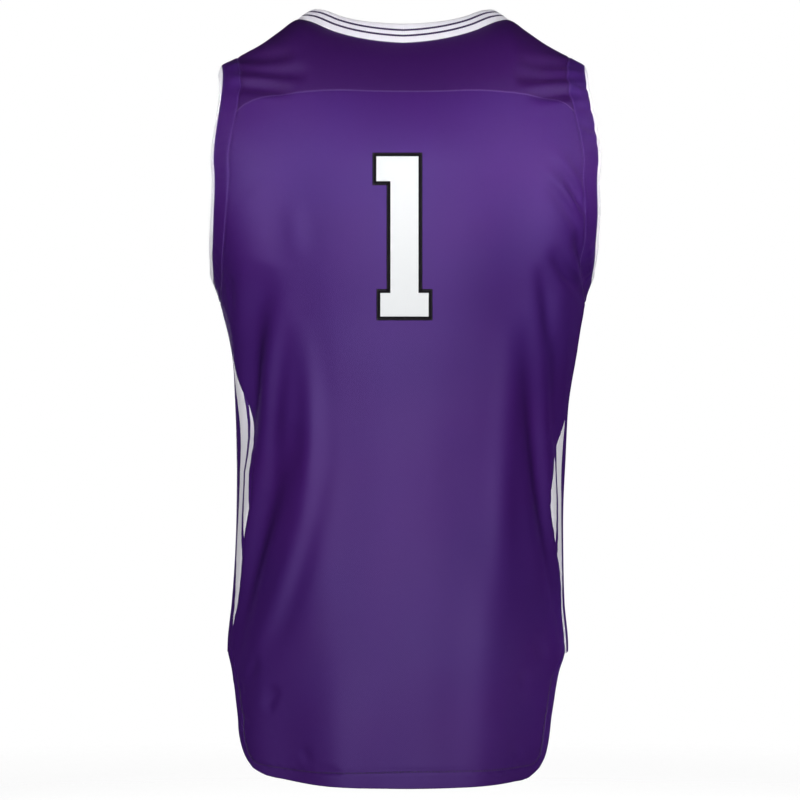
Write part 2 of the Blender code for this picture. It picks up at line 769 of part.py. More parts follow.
def fit_digit(turn, rise):
    """Pulls the panel's grid lines onto the digit's edges, and lets them ease back around it."""
    points = form_point(turn, rise, BACK)
    across, heights = digit_lines()
    row, column = digit_window(points)
    last_row, last_column = row + len(heights) - 1, column + len(across) - 1
    rows = np.clip(np.arange(len(points)), row, last_row)
    places = np.clip(np.arange(points.shape[1]), column, last_column)
    share = np.outer(ease(len(points), row, last_row), ease(points.shape[1], column, last_column))
    near = points[np.ix_(rows, places)]
    x = points[..., 0] + share * (across[places - column][None, :] * MM - near[..., 0])
    z = points[..., 2] + share * (heights[rows - row][:, None] * MM - near[..., 2])
    pulled_turn, pulled_rise = turn_and_rise(x, z, BACK)
    return np.where(share > 0, pulled_turn, turn), np.where(share > 0, pulled_rise, rise)


def digit_pieces(panel_points, panel_normal):
    """Two layers of twill from the panel's own points: a dark digit, and a white one on top of it."""
    across, heights = digit_lines()
    row, column = digit_window(panel_points)
    window = np.s_[row : row + len(heights), column : column + len(across)]
    points, normal = panel_points[window], panel_normal[window]
    lift = SEAM_GAP
    for name, border, colour in (("number_border", DIGIT_BORDER, "black"), ("number_face", 0, "white")):
        boxes = digit_boxes(border)
        cells = [
            [any(l > x > r and t > z > f for l, r, t, f in boxes) for x in (across[1:] + across[:-1]) / 2]
            for z in (heights[1:] + heights[:-1]) / 2
        ]
        outer = points + normal * (lift + TWILL_WALL)
        cloth_solid(name, outer, points + normal * lift, colour, cells=cells)
        lift += TWILL_WALL + SEAM_GAP


def clear_scene():
    for item in list(bpy.data.objects):
        bpy.data.objects.remove(item)


def main():
    clear_scene()
    yoke, back, under, front = armhole_angles()
    back_pieces(yoke, back)
    body_panel("front_panel", FRONT, top_line(FRONT), front[::-1])
    around = np.concatenate([yoke[:-1], back[:-1], under[:-1], front[:-1]])
    for word, side in (("left", LEFT), ("right", RIGHT)):
        side_piece("side_panel_" + word, side, under)
        armhole_band("armhole_band_" + word, side, around)
        armhole_rib("armhole_rib_" + word, side, around)
    neckband()


main()
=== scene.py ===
import math

import bpy
import numpy as np
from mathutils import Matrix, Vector


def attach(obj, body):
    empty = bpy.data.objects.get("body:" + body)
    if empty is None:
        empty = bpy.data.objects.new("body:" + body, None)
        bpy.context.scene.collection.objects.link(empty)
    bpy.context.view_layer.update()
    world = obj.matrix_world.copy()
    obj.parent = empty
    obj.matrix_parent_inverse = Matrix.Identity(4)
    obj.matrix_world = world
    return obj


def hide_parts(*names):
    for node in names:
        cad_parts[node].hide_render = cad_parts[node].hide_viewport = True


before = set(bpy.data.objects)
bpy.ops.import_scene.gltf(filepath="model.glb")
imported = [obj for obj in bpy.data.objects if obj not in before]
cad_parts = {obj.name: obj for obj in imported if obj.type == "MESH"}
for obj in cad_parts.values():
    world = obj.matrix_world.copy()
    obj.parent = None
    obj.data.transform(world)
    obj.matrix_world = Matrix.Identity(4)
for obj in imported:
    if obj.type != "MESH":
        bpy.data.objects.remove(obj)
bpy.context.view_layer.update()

mm = 0.001
back, front = 1, -1
left, right = 1, -1
tiny = 1e-9
rng = np.random.default_rng(23)


def table(names, *rows):  # a table as columns
    return dict(zip(names.split(), np.array(rows, float).T))


# The torso form that all the panels lie on, in mm: half widths, depths and how square each section is.
torso = table(
    "height left right back front corner",
    (20, 230, 238, 120, 124, 2.20),
    (-150, 230, 238, 120, 124, 2.20),
    (-200, 221, 228, 122, 127, 2.20),
    (-235, 207, 209, 121, 127, 2.20),
    (-264, 190, 189, 119, 126, 2.25),
    (-300, 179, 180, 115, 124, 2.30),
    (-335, 171, 174, 112, 121, 2.30),
    (-380, 167, 166, 108, 117, 2.25),
    (-445, 166, 162, 105, 114, 2.20),
    (-520, 167, 160, 107, 113, 2.25),
    (-580, 170, 161, 111, 113, 2.30),
    (-625, 175, 165, 114, 114, 2.30),
    (-680, 172, 158, 116, 115, 2.30),
    (-780, 168, 154, 118, 115, 2.30),
)
shoulder = {
    "baseLevel": {back: -150 * mm, front: -200 * mm},  # where the slope up to the ridge begins
    "slopeRun": 170 * mm,
    "slopePower": {back: 1.6, front: 1.7},
    "ridge": table(
        "across height",
        (0, -4),
        (70, -3),
        (95, 1),
        (107, 0),
        (123, -11),
        (141, -23.5),
        (165, -36.5),
        (180, -44),
        (205, -57),
        (245, -85),
    ),
}

# Creases, in mm: both ends, the bow to the side, the trough's half width and depth, below zero for a ridge.
creaseNames = "acrossHead heightHead acrossFoot heightFoot bow halfWidth depth"
creases = {
    back: table(
        creaseNames,
        (131, -246, 155, -450, 6, 16, 12.0),
        (113, -290, 134, -470, 0, 9, 3.0),
        (106, -400, 168, -655, 10, 16, 9.5),
        (92, -470, 150, -635, -6, 12, -3.0),
        (74, -410, 133, -630, -10, 10, 1.4),
        (-137, -244, -154, -476, -3, 12, 5.0),
        (-121, -292, -160, -632, 5, 12, 6.5),
        # soft fullness over the shoulder blades and beside the flat of the back
        (168, -50, 136, -400, 4, 32, -8.0),
        (-168, -50, -136, -400, -4, 32, -8.0),
        (87, -300, 88, -640, 0, 24, -3.0),
        (99, -300, 98, -510, -9, 10, -2.6),
        (66, -600, 50, -900, 0, 26, -4.0),
        (-97, -280, -91, -640, 0, 24, -3.0),
        (-104, -300, -93, -580, 0, 12, -2.0),
        (-88, -520, -72, -810, 0, 20, -3.0),
        (118, -640, 112, -860, 0, 24, 4.0),
        (-138, -540, -122, -830, 0, 25, 1.5),
        # short ones pulled from the armhole seams over the yoke
        (170, -39, 104, -43, 0, 7.5, 5.8),
        (170, -50, 90, -62, 0, 8, 7.0),
        (170, -69, 104, -78, 0, 7, 5.8),
        (-114, -51, -174, -46, 0, 7, 5.6),
        (-108, -65, -174, -58, 0, 8, 7.0),
        (-120, -83, -173, -77, 0, 7, 5.4),
        (-165, -70, -192, -74, 0, 3.5, 1.3),
        (-167, -93, -194, -97, 0, 3.5, 1.2),
        (-168, -112, -195, -117, 0, 4, 1.6),
        (-168, -126, -195, -129, 0, 3, 1.0),
        # ridges and crescents under the right arm
        (-141, -132, -171, -190, -3, 6, -3.6),
        (-131, -150, -174, -212, -3, 5, -3.4),
        (-148, -150, -172, -200, -2, 5, 4.0),
        (-138, -168, -170, -222, -3, 5, 2.8),
        (-162, -214, -180, -268, -2, 6.5, 6.5),
        (-142, -229, -186, -282, 8, 6.5, 5.5),
        (-131, -240, -141, -330, -2, 7, 2.6),
        # the left side
        (107, -182, 103, -246, 0, 11, -1.3),
        (136, -163, 166, -186, 0, 5, 1.0),
        (165, -254, 165, -294, 0, 6, 2.4),
        # small ones by the vents and the hem
        (141, -632, 153, -655, 0, 6, 1.8),
        (123, -657, 137, -683, 0, 7, 2.6),
        (161, -686, 151, -698, 0, 4, 1.4),
        (159, -655, 158, -668, 0, 4, 1.2),
        (-132, -608, -139, -636, 0, 8, 2.0),
        (-116, -642, -120, -660, 0, 6, 1.2),
        (99, -714, 91, -731, 0, 5, 1.3),
        (84, -735, 58, -738, 0, 4, 1.0),
        (-104, -716, -118, -724, 0, 6, 1.2),
    ),
    front: table(
        creaseNames,
        (134, -275, 142, -470, -5, 20, 5.5),
        (-134, -270, -140, -455, 6, 20, 5.5),
        (96, -450, 142, -628, 4, 21, 5.0),
        (-88, -435, -134, -622, -5, 21, 5.0),
        (48, -190, 112, -330, -8, 24, 2.5),
        (-50, -200, -116, -345, 8, 24, 2.5),
        (30, -420, 52, -690, 5, 28, 2.5),
        (-34, -400, -60, -690, -5, 28, 2.5),
        # short ones pulled from the armhole seams
        (158, -62, 119, -84, 0, 7, 2.6),
        (163, -92, 128, -103, 2, 6, 1.8),
        (-131, -71, -161, -58, 0, 6, 2.4),
        (-126, -104, -163, -95, 0, 6, 1.7),
        (142, -140, 166, -188, 3, 6, -1.6),
        (150, -158, 168, -196, 2, 5, 1.8),
        (-138, -150, -168, -200, -3, 6, -1.5),
        (160, -224, 173, -260, 2, 6.5, 3.8),
        (144, -236, 179, -276, -8, 7, 3.0),
        (-158, -228, -172, -262, -2, 6, 3.2),
        (-141, -238, -176, -280, 8, 7, 2.6),
        # down the sides and by the vents
        (135, -278, 140, -380, -4, 8, 2.4),
        (-136, -274, -141, -352, 4, 8, 2.0),
        (101, -458, 139, -604, 3, 9, 2.6),
        (-93, -446, -131, -598, -4, 9, 2.3),
        (72, -240, 106, -318, -3, 9, 1.2),
        (-66, -262, -108, -338, 4, 9, 1.2),
        (126, -634, 143, -662, 0, 7, 2.2),
        (-118, -640, -136, -671, 0, 7, 2.4),
        (88, -668, 83, -697, 0, 5, 1.2),
        (-74, -690, -64, -706, 0, 5, 1.2),
    ),
}
ripples = {"count": 9, "wavelength": (46 * mm, 150 * mm), "height": 0.24 * mm}
rippleWays = rng.normal(size=(ripples["count"], 3))
rippleWays /= np.linalg.norm(rippleWays, axis=1, keepdims=True)
rippleWays *= 2 * math.pi / rng.uniform(*ripples["wavelength"], (ripples["count"], 1))
rippleStarts = rng.uniform(0, 2 * math.pi, ripples["count"])


def smooth(x, knownX, knownY):  # a smooth curve through known points, flat beyond them
    order = np.argsort(knownX)
    xs, ys = np.asarray(knownX)[order], np.asarray(knownY)[order]
    slopes = np.gradient(ys, xs)
    x = np.clip(x, xs[0], xs[-1])
    i = np.clip(np.searchsorted(xs, x) - 1, 0, len(xs) - 2)
    span = xs[i + 1] - xs[i]
    t = (x - xs[i]) / span
    return (
        (2 * t**3 - 3 * t**2 + 1) * ys[i]
        + (t**3 - 2 * t**2 + t) * span * slopes[i]
        + (3 * t**2 - 2 * t**3) * ys[i + 1]
        + (t**3 - t**2) * span * slopes[i + 1]
    )


def blend(first, last, share):
    return first * (1 - share) + last * share


def unit(vectors):
    return vectors / np.linalg.norm(vectors, axis=-1, keepdims=True)


def fade(distance, reach):  # 1 on a line and less beside it
    return np.exp(-((distance / reach) ** 2))


def halve(low, high, isLow):  # closes in on the value at which a test turns
    for _ in range(40):
        middle = (low + high) / 2
        passed = isLow(middle)
        low, high = np.where(passed, middle, low), np.where(passed, high, middle)
    return low


def runs(points, axis=0):  # running length along a line or a grid of points
    lengths = np.linalg.norm(np.diff(points, axis=axis), axis=-1)
    total = np.cumsum(lengths, axis=axis)
    return np.insert(total, 0, 0, axis=axis)


def evenly(points, count):  # places that cut a fine line into equal lengths
    along = runs(points)
    return np.interp(np.linspace(0, along[-1], count + 1), along, np.arange(len(points)))


def pick(values, places):
    return np.interp(places, np.arange(len(values)), values)


def pickRows(points, places):
    return np.stack([pick(points[:, k], places) for k in range(points.shape[1])], axis=-1)


def section(height, side, face):  # half width, depth and how square
    at = np.asarray(height) / mm
    names = ("left", "right", "back", "front", "corner")
    wide, narrow, deep, shallow, corner = (smooth(at, torso["height"], torso[name]) for name in names)
    width = np.where(np.asarray(side) >= 0, wide, narrow)
    return width * mm, np.where(np.asarray(face) > 0, deep, shallow) * mm, corner


def ridgeHeight(across):
    return smooth(np.abs(across) / mm, shoulder["ridge"]["across"], shoulder["ridge"]["height"]) * mm


def byFace(values, face):
    return np.where(np.asarray(face) > 0, values[back], values[front])


def climb(across, height, face):  # share of the way from the base level up to the ridge
    base = byFace(shoulder["baseLevel"], face)
    return np.clip((height - base) / (ridgeHeight(across) - base), 0, None)


def formDepth(across, height, face):
    width, depth, corner = section(height, across, face)
    flat = 1 - np.clip(np.abs(across) / width, 0, 1) ** corner
    slope = 1 - np.clip(climb(across, height, face), 0, 1) ** byFace(shoulder["slopePower"], face)
    return depth * (flat * slope) ** (1 / corner)


def formAcross(side, depth, height):
    face = np.where(np.asarray(depth) >= 0, back, front)
    low = np.full(np.shape(depth), 60 * mm)  # nearer to the middle than any side
    high = section(height, side, face)[0] * np.ones(np.shape(depth))
    return side * halve(low, high, lambda across: formDepth(side * across, height, face) > np.abs(depth))


def turnAndRise(across, height, face):
    width, _, corner = section(height, across, face)
    turn = np.sign(across) * np.arcsin(np.clip(np.abs(across) / width, 0, 1) ** (corner / 2))
    share = np.clip(climb(across, height, face), 0, 1)
    slope = np.arcsin(share ** (byFace(shoulder["slopePower"], face) / 2)) / (math.pi / 2)
    base = byFace(shoulder["baseLevel"], face)
    return turn, np.where(height > base, slope * shoulder["slopeRun"], height - base)


def formPoint(turn, rise, face):  # a turn past 90 degrees goes on round to the other face
    turn, rise = np.asarray(turn, float), np.asarray(rise, float)
    over = np.abs(turn) > math.pi / 2
    near = np.where(over, np.sign(turn) * math.pi - turn, turn)
    face = np.where(over, -face, face)
    power = byFace(shoulder["slopePower"], face)
    base = byFace(shoulder["baseLevel"], face)
    share = np.sin(np.clip(rise / shoulder["slopeRun"], 0, 1) * math.pi / 2) ** (2 / power)
    height = base + np.minimum(rise, 0)
    for _ in range(12):
        width, depth, corner = section(height, near, face)
        across = np.sign(near) * width * np.abs(np.sin(near)) ** (2 / corner)
        height = np.where(rise > 0, base + share * (ridgeHeight(across) - base), height)
    depth = depth * np.abs(np.cos(near)) ** (2 / corner) * (1 - share**power) ** (1 / corner)
    return np.stack([across, face * depth, height], axis=-1)


def evenLine(turn, rise, face, count):  # a line on the form, cut into equal lengths
    places = evenly(formPoint(turn, rise, face), count)
    return pick(turn, places), pick(rise, places)


def formGap(points):  # below zero inside the form
    across, depth, height = np.moveaxis(points, -1, 0)
    face = np.where(depth >= 0, back, front)
    width, reach, corner = section(height, across, face)
    flat = 1 - (np.abs(across) / width) ** corner
    slope = 1 - climb(across, height, face) ** byFace(shoulder["slopePower"], face)
    return (np.abs(depth) / reach) ** corner - flat * slope


def outward(points):
    steps = np.eye(3) * 0.2 * mm
    return unit(np.stack([formGap(points + step) - formGap(points - step) for step in steps], axis=-1))


def creaseLine(crease, face):
    t = np.linspace(0, 1, 17)
    bow = crease["bow"] * 4 * t * (1 - t)
    across = (blend(crease["acrossHead"], crease["acrossFoot"], t) + bow) * mm
    height = blend(crease["heightHead"], crease["heightFoot"], t) * mm
    return np.stack([across, face * formDepth(across, height, face), height], axis=-1)


def creaseDepth(points):  # how far the creases push each point in (below zero) or out
    flat = points.reshape(-1, 3)
    moved = np.zeros(len(flat))
    for face, rows in creases.items():
        for row in zip(*rows.values()):
            crease = dict(zip(rows, row))
            line = creaseLine(crease, face)
            halfWidth = crease["halfWidth"] * mm
            reach = 4.5 * halfWidth  # beyond this a crease no longer shows
            near = ((flat > line.min(0) - reach) & (flat < line.max(0) + reach)).all(1)
            if not near.any():
                continue
            start, run = line[:-1], np.diff(line, axis=0)
            toStart = flat[near][:, None, :] - start
            t = np.clip((toStart * run).sum(-1) / (run * run).sum(-1), 0, 1)
            distance = np.linalg.norm(toStart - t[..., None] * run, axis=-1)
            nearest = distance.argmin(-1)
            each = np.arange(len(nearest))
            away = distance[each, nearest] / halfWidth
            taper = np.sin(math.pi * (nearest + t[each, nearest]) / len(run))
            moved[near] -= crease["depth"] * mm * taper * (1 - away**2 / 2) * np.exp(-(away**2) / 2)
    return moved.reshape(points.shape[:-1])


def rippleDepth(points):  # the slight unevenness of hanging cloth
    waves = np.sin(points @ rippleWays.T + rippleStarts)
    return waves.sum(-1) * ripples["height"] / math.sqrt(ripples["count"])


def clothPoint(turn, rise, face):
    base = formPoint(turn, rise, face)
    normal = outward(base)
    return base + normal * (creaseDepth(base) + rippleDepth(base))[..., None], normal


class Wire:  # a socket that takes part in sums
    def __init__(self, finish, socket):
        self.finish, self.socket = finish, socket

    def math(self, operation, *others):
        return self.finish.node("ShaderNodeMath", {"operation": operation}, [self, *others])

    def __add__(self, other):
        return self.math("ADD", other)

    def __sub__(self, other):
        return self.math("SUBTRACT", other)

    def __rsub__(self, other):
        return self.finish.node("ShaderNodeMath", {"operation": "SUBTRACT"}, [other, self])

    def __mul__(self, other):
        return self.math("MULTIPLY", other)

    def __truediv__(self, other):
        return self.math("DIVIDE", other)

    def __gt__(self, other):
        return self.math("GREATER_THAN", other)

    def __lt__(self, other):
        return self.math("LESS_THAN", other)

    __radd__ = __add__
    __rmul__ = __mul__


class Finish:  # one material, with its shader's plain values set first
    def __init__(self, name, plain):
        self.material = bpy.data.materials.new(name)
        self.material.use_nodes = True
        self.tree = self.material.node_tree
        self.shader = self.tree.nodes["Principled BSDF"]
        for socket, value in plain.items():
            self.shader.inputs[socket].default_value = value

    def node(self, kind, settings, sockets, out=0):
        made = self.tree.nodes.new(kind)
        for name, value in settings.items():
            setattr(made, name, value)
        named = sockets.items() if isinstance(sockets, dict) else enumerate(sockets)
        for name, value in named:
            self.join(value, made.inputs[name])
        return Wire(self, made.outputs[out])

    def join(self, value, socket):
        if isinstance(value, Wire):
            self.tree.links.new(value.socket, socket)
        else:
            socket.default_value = value

    def cloth(self):  # across and along the cloth, in metres
        vector = self.node("ShaderNodeUVMap", {"uv_map": "cloth"}, {})
        return [self.node("ShaderNodeSeparateXYZ", {}, [vector], out) for out in (0, 1)]

    def place(self):
        return self.node("ShaderNodeTexCoord", {}, {}, "Object")

    def noise(self, scale, detail=2.0, roughness=0.5, stretch=None):  # about zero
        place = self.place()
        if stretch:
            place = self.node("ShaderNodeVectorMath", {"operation": "MULTIPLY"}, [place, stretch])
        sockets = {"Vector": place, "Scale": scale, "Detail": detail, "Roughness": roughness}
        return self.node("ShaderNodeTexNoise", {}, sockets) - 0.5

    def mix(self, share, first, second):
        first, second = ((*c, 1) if isinstance(c, tuple) else c for c in (first, second))
        return self.node("ShaderNodeMix", {"data_type": "RGBA"}, {0: share, 6: first, 7: second}, 2)

    def shade(self, colour, level):  # a colour made lighter or darker
        return self.node("ShaderNodeVectorMath", {"operation": "SCALE"}, {0: colour, "Scale": level})

    def dress(self, colour, roughness, height):
        bump = self.node("ShaderNodeBump", {}, {"Strength": 1.0, "Distance": 1.0, "Height": height})
        for socket, value in (("Base Color", colour), ("Roughness", roughness), ("Normal", bump)):
            self.join(value, self.shader.inputs[socket])
        return self.material


def waves(wire, pitch, start=0.0):
    return (wire * (2 * math.pi / pitch) + start).math("SINE")


def between(wire, low, high):
    return (wire > low) * (wire < high)


satinKnit = {
    "colour": (0.0445, 0.0066, 0.119),
    "cooler": (0.039, 0.0100, 0.125),  # faint bluish clouds in the sheen
    # the yoke's knit is a darker copy of the body's: partly the yoke's own deeper tone, partly painted shade
    # for the yoke facing up
    "yokeShadedColour": (0.033, 0.0042, 0.081),
    "stripeColour": (0.80, 0.79, 0.84),
    "roughness": 0.55,
    "wale": 1.15 * mm,  # columns of loops
    "course": 0.95 * mm,
    "loopHeight": 0.035 * mm,
    "mottle": 0.20,
}


def knitFinish(name, colour, stripes=None, cool=True):
    finish = Finish(name, {"Specular IOR Level": 0.55, "Specular Tint": (0.56, 0.42, 1.0, 1.0)})
    across, along = finish.cloth()
    wale, course = satinKnit["wale"], satinKnit["course"]
    loops = waves(across, wale) * waves(along, course)
    offset = waves(across, wale * 2) * waves(along, course * 2)
    cloudy = finish.noise(9.0, 3.0, 0.55)
    streaks = finish.noise(26.0, 2.0, 0.6, (1.0, 1.0, 0.35))
    tone = finish.mix(finish.noise(7.0) * 2.2 + 0.3, colour, satinKnit["cooler"]) if cool else colour
    shown = finish.shade(tone, 1 + cloudy * satinKnit["mottle"] + streaks * 0.10 + loops * 0.03)
    if stripes:
        depth = across.math("ABSOLUTE")
        mask = between(depth, *stripes["broad"]).math("MAXIMUM", between(depth, *stripes["narrow"]))
        paint = finish.shade(satinKnit["stripeColour"], 1 + cloudy * 0.05 + loops * 0.02)
        shown = finish.mix(mask, shown, paint)
    height = (loops + offset * 0.4) * satinKnit["loopHeight"] + streaks * 0.25 * mm
    return finish.dress(shown, satinKnit["roughness"] + cloudy * 0.08, height)


rib = {
    "pitch": 2.3 * mm,  # from one rib to the next
    "height": 0.16 * mm,
    "course": 1.1 * mm,
    "wall": 1.9 * mm,
    "under": 0.25 * mm,  # how far its seam lies below the cloth
    "lineColour": (0.030, 0.012, 0.070),
}


def ribFinish(name, colour, lines=()):
    finish = Finish(name, {"Sheen Weight": 0.15, "Sheen Roughness": 0.5, "Specular IOR Level": 0.35})
    around, up = finish.cloth()
    loops = waves(around, rib["pitch"] / 2) * waves(up, rib["course"])
    fuzz, soft = finish.noise(420.0, 2.0, 0.6), finish.noise(16.0)
    shown = finish.shade(colour, 1 + loops * 0.03 + soft * 0.06 + fuzz * 0.05)
    for low, high in lines:
        shown = finish.mix(between(up, low, high), shown, rib["lineColour"])
    return finish.dress(shown, 0.72 + fuzz * 0.1, loops * 0.05 * mm + fuzz * 0.08 * mm)


def twillFinish(name, colour, roughness):
    finish = Finish(name, {"Specular IOR Level": 0.12})
    across, along = finish.cloth()
    lines, cross = waves(across + along, 0.9 * mm), waves(across - along, 0.5 * mm)
    soft = finish.noise(14.0)
    shown = finish.shade(colour, 1 + lines * 0.02 + cross * 0.01 + soft * 0.05)
    return finish.dress(shown, roughness + soft * 0.06, (lines * 0.6 + cross * 0.4) * 0.03 * mm)


def threadFinish(name, colour):
    finish = Finish(name, {"Specular IOR Level": 0.5, "Sheen Weight": 0.1})
    fuzz, soft = finish.noise(900.0, 2.0, 0.6), finish.noise(30.0, 1.0)
    shown = finish.shade(colour, 1 + fuzz * 0.25 + soft * 0.15)
    return finish.dress(shown, 0.45 + fuzz * 0.15, fuzz * 0.06 * mm)


def addObject(name, data):
    made = bpy.data.objects.new(name, data)
    bpy.context.scene.collection.objects.link(made)
    return made


def meshObject(name, vertices, faces, finish, uv=None):
    mesh = bpy.data.meshes.new(name)
    mesh.from_pydata(vertices.tolist(), [], faces.tolist())
    if uv is not None:
        mesh.uv_layers.new(name="cloth").data.foreach_set("uv", uv.astype(np.float32).ravel())
    mesh.materials.append(finish)
    mesh.shade_smooth()
    mesh.set_sharp_from_angle(angle=math.radians(60))
    return addObject(name, mesh)


def shell(name, outer, inner, uv, finish, ring=False, cells=None):
    # closed cloth between two grids of points; on a ring, uv has one more column
    rows, count = outer.shape[:2]
    last = count if ring else count - 1
    filled = np.ones((rows - 1, last), bool) if cells is None else cells
    r, c = (index.ravel() for index in np.nonzero(filled))
    corners = [(r, c), (r, c + 1), (r + 1, c + 1), (r + 1, c)]

    def index(layer, place):
        return layer * rows * count + place[0] * count + place[1] % count

    def mapped(place):
        return uv[place[0], place[1]]

    layers = ((0, corners), (1, corners[::-1]))
    faces = [np.stack([index(layer, p) for p in order], -1) for layer, order in layers]
    maps = [np.stack([mapped(p) for p in order], 1) for _, order in layers]
    for k, (down, over) in enumerate([(-1, 0), (0, 1), (1, 0), (0, -1)]):
        i, j = r + down, c + over
        j = j % last if ring else j
        inside = (i >= 0) & (i < rows - 1) & (j >= 0) & (j < last)
        bare = ~inside  # edges with no cell beyond them get a wall
        bare[inside] = ~filled[i[inside], j[inside]]
        a, b = ([axis[bare] for axis in corners[(k + step) % 4]] for step in (0, 1))
        faces.append(np.stack([index(0, b), index(0, a), index(1, a), index(1, b)], -1))
        maps.append(np.stack([mapped(b), mapped(a), mapped(a), mapped(b)], 1))
    faces, maps = np.concatenate(faces), np.concatenate(maps)
    points = np.concatenate([outer.reshape(-1, 3), inner.reshape(-1, 3)])
    used, faces = np.unique(faces, return_inverse=True)
    faces, points = faces.reshape(-1, 4), points[used]
    # the outer faces have to look away from the inner layer
    first = points[faces[0]]
    facing = np.cross(first[1] - first[0], first[3] - first[0])
    if facing @ (outer[r[0], c[0]] - inner[r[0], c[0]]) < 0:
        faces, maps = faces[:, ::-1], maps[:, ::-1]
    return meshObject(name, points, faces, finish, maps.reshape(-1, 2))


def onGrid(values, row, column):  # values at places between grid points
    r = np.clip(np.floor(row).astype(int), 0, len(values) - 2)
    c = np.clip(np.floor(column).astype(int), 0, values.shape[1] - 2)
    down, over = row - r, column - c
    if values.ndim == 3:
        down, over = down[:, None], over[:, None]
    top = blend(values[r, c], values[r, c + 1], over)
    return blend(top, blend(values[r + 1, c], values[r + 1, c + 1], over), down)


def crossing(distance, wanted):  # rows and columns of the line where the columns reach a distance
    index = np.arange(len(distance))
    way = -1 if distance[0].mean() > distance[-1].mean() else 1
    rows = [np.interp(wanted, column[::way], index[::way]) for column in distance.T]
    return np.array(rows), np.arange(len(rows))


class Threads:  # rows of stitches, gathered into one mesh
    sides, rings = 6, 6

    def __init__(self, name, thickness):
        self.name, self.thickness = name, thickness
        self.points = []

    def sew(self, path, normals, begin, end):
        # each stitch runs between two places, given along the path and beside it
        t = np.linspace(0, 1, self.rings)
        s, beside = (blend(begin[k][:, None], end[k][:, None], t) for k in (0, 1))
        places = np.interp(s, runs(path), np.arange(len(path)))
        lines = (path, normals, np.gradient(path, axis=0))
        centre, up, way = (pickRows(line, places.ravel()).reshape(*s.shape, 3) for line in lines)
        up = unit(up)
        lift = self.thickness * (np.sin(math.pi * t) ** 0.5 * 0.85 - 0.5)
        centre = centre + unit(np.cross(up, way)) * beside[..., None] + up * lift[None, :, None]
        tangent = np.gradient(centre, axis=1)
        across = unit(np.cross(up, tangent))
        over = unit(np.cross(tangent, across))
        angle = np.arange(self.sides) * 2 * math.pi / self.sides
        radius = (self.thickness / 2 * (0.65 + 0.35 * np.sin(math.pi * t)))[None, :, None, None]
        ring = np.cos(angle)[:, None] * across[:, :, None] + np.sin(angle)[:, None] * over[:, :, None]
        self.points.append((centre[:, :, None] + ring * radius).reshape(-1, self.rings * self.sides, 3))

    def straight(self, points, normals, places, pitch, share=0.84):
        path = onGrid(points, *places)
        length = runs(path)[-1]
        count = int(length / pitch)
        starts = (np.arange(count) + 0.08) * length / count + rng.uniform(-0.04, 0.04, count) * pitch
        beside = rng.uniform(-0.05, 0.05, (2, count)) * mm
        ends = starts + share * length / count
        self.sew(path, onGrid(normals, *places), (starts, beside[0]), (ends, beside[1]))

    def zigzag(self, path, normals, pitch, width):
        length = runs(path)[-1]
        count = int(length / pitch)
        starts = np.arange(count) * length / count
        half = np.where(np.arange(count) % 2, width / 2, -width / 2) * rng.uniform(0.94, 1.06, count)
        ends = np.minimum(starts + length / count * 1.05, length)
        self.sew(path, normals, (starts, half), (ends, -half))

    def made(self, finish):
        points = np.concatenate(self.points)
        count, each = points.shape[:2]
        start = (np.arange(count) * each)[:, None, None]
        ring = np.arange(self.rings - 1)[None, :, None] * self.sides
        one = np.arange(self.sides)[None, None, :]
        two = (one + 1) % self.sides
        corners = [start + ring + at for at in (one, two, self.sides + two, self.sides + one)]
        quads = np.stack(np.broadcast_arrays(*corners), -1).reshape(-1, 4)
        caps = []
        for first, order in ((0, slice(None, None, -1)), ((self.rings - 1) * self.sides, slice(None))):
            six = start[:, 0] + first + np.arange(self.sides)[None, order]
            caps += [six[:, :4], six[:, [0, 3, 4, 5]]]
        return meshObject(self.name, points.reshape(-1, 3), np.concatenate([quads, *caps]), finish)


def declare(piece, node, sheet, threads=()):
    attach(piece, "root")
    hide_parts(node)
    for thread in threads:
        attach(thread, "root")
    sizes = {"area": sheet["area"]} if "area" in sheet else {}


armhole = {
    "edge": {"top": -44.5 * mm, "bottom": -264 * mm, "back": 79 * mm, "front": 80 * mm},
    "seam": {"top": -36.8 * mm, "bottom": -282 * mm, "back": 88.3 * mm, "front": 88 * mm},
    "centre": -160 * mm,
    "corner": 2.2,
    "stretches": {"yoke": 4, back: 13, "under": 6, front: 15},
}
neck = {
    "halfWidth": 107 * mm,
    "depth": {back: 64 * mm, front: 98 * mm},
    "corner": {back: 1.72, front: 2.1},
}
yokeSeam = table(
    "share height",
    (0, -80),
    (0.15, -79.8),
    (0.46, -78.5),
    (0.70, -81.5),
    (0.84, -84.5),
    (0.92, -89),
    (0.97, -94),
    (1, -99),
)
sideSeams = table(
    "height backLeft backRight front",
    (-278, 24, 24, 30),
    (-330, 29, 20, 31),
    (-380, 40, 23, 36),
    (-445, 52, 45, 43),
    (-470, 51, 49, 44),
    (-520, 41, 42, 42),
    (-560, 35, 31, 38),
    (-600, 29, 32, 34),
    (-630, 19, 34, 32),
)
tail = {
    "vent": -630 * mm,
    "frontShare": 0.85,
    "edge": table(
        "height left right",
        (-644, 170.5, 154.5),
        (-660, 167, 151),
        (-676, 165, 148.5),
        (-692, 163, 146),
        (-706, 162, 144.5),
        (-719, 159, 142.5),
        (-730, 154, 139.5),
        (-739, 147, 134.5),
    ),
    "hem": table(
        "share left right",
        (0, -754, -754),
        (0.35, -753, -753.4),
        (0.6, -751.2, -752.2),
        (0.8, -748, -750),
        (0.93, -744.4, -746.8),
        (1, -739, -739),
    ),
}
fine = 480  # points on a finely cut line


def armholeOval(angle, ring):  # angle 0 is the shoulder, 90 degrees the back
    oval = armhole[ring]
    power = 2 / armhole["corner"]
    sine, cosine = np.sin(angle), np.cos(angle)
    depth = np.where(sine >= 0, oval["back"], -oval["front"]) * np.abs(sine) ** power
    end = np.where(cosine >= 0, oval["top"], oval["bottom"])
    return depth, armhole["centre"] + (end - armhole["centre"]) * np.abs(cosine) ** power


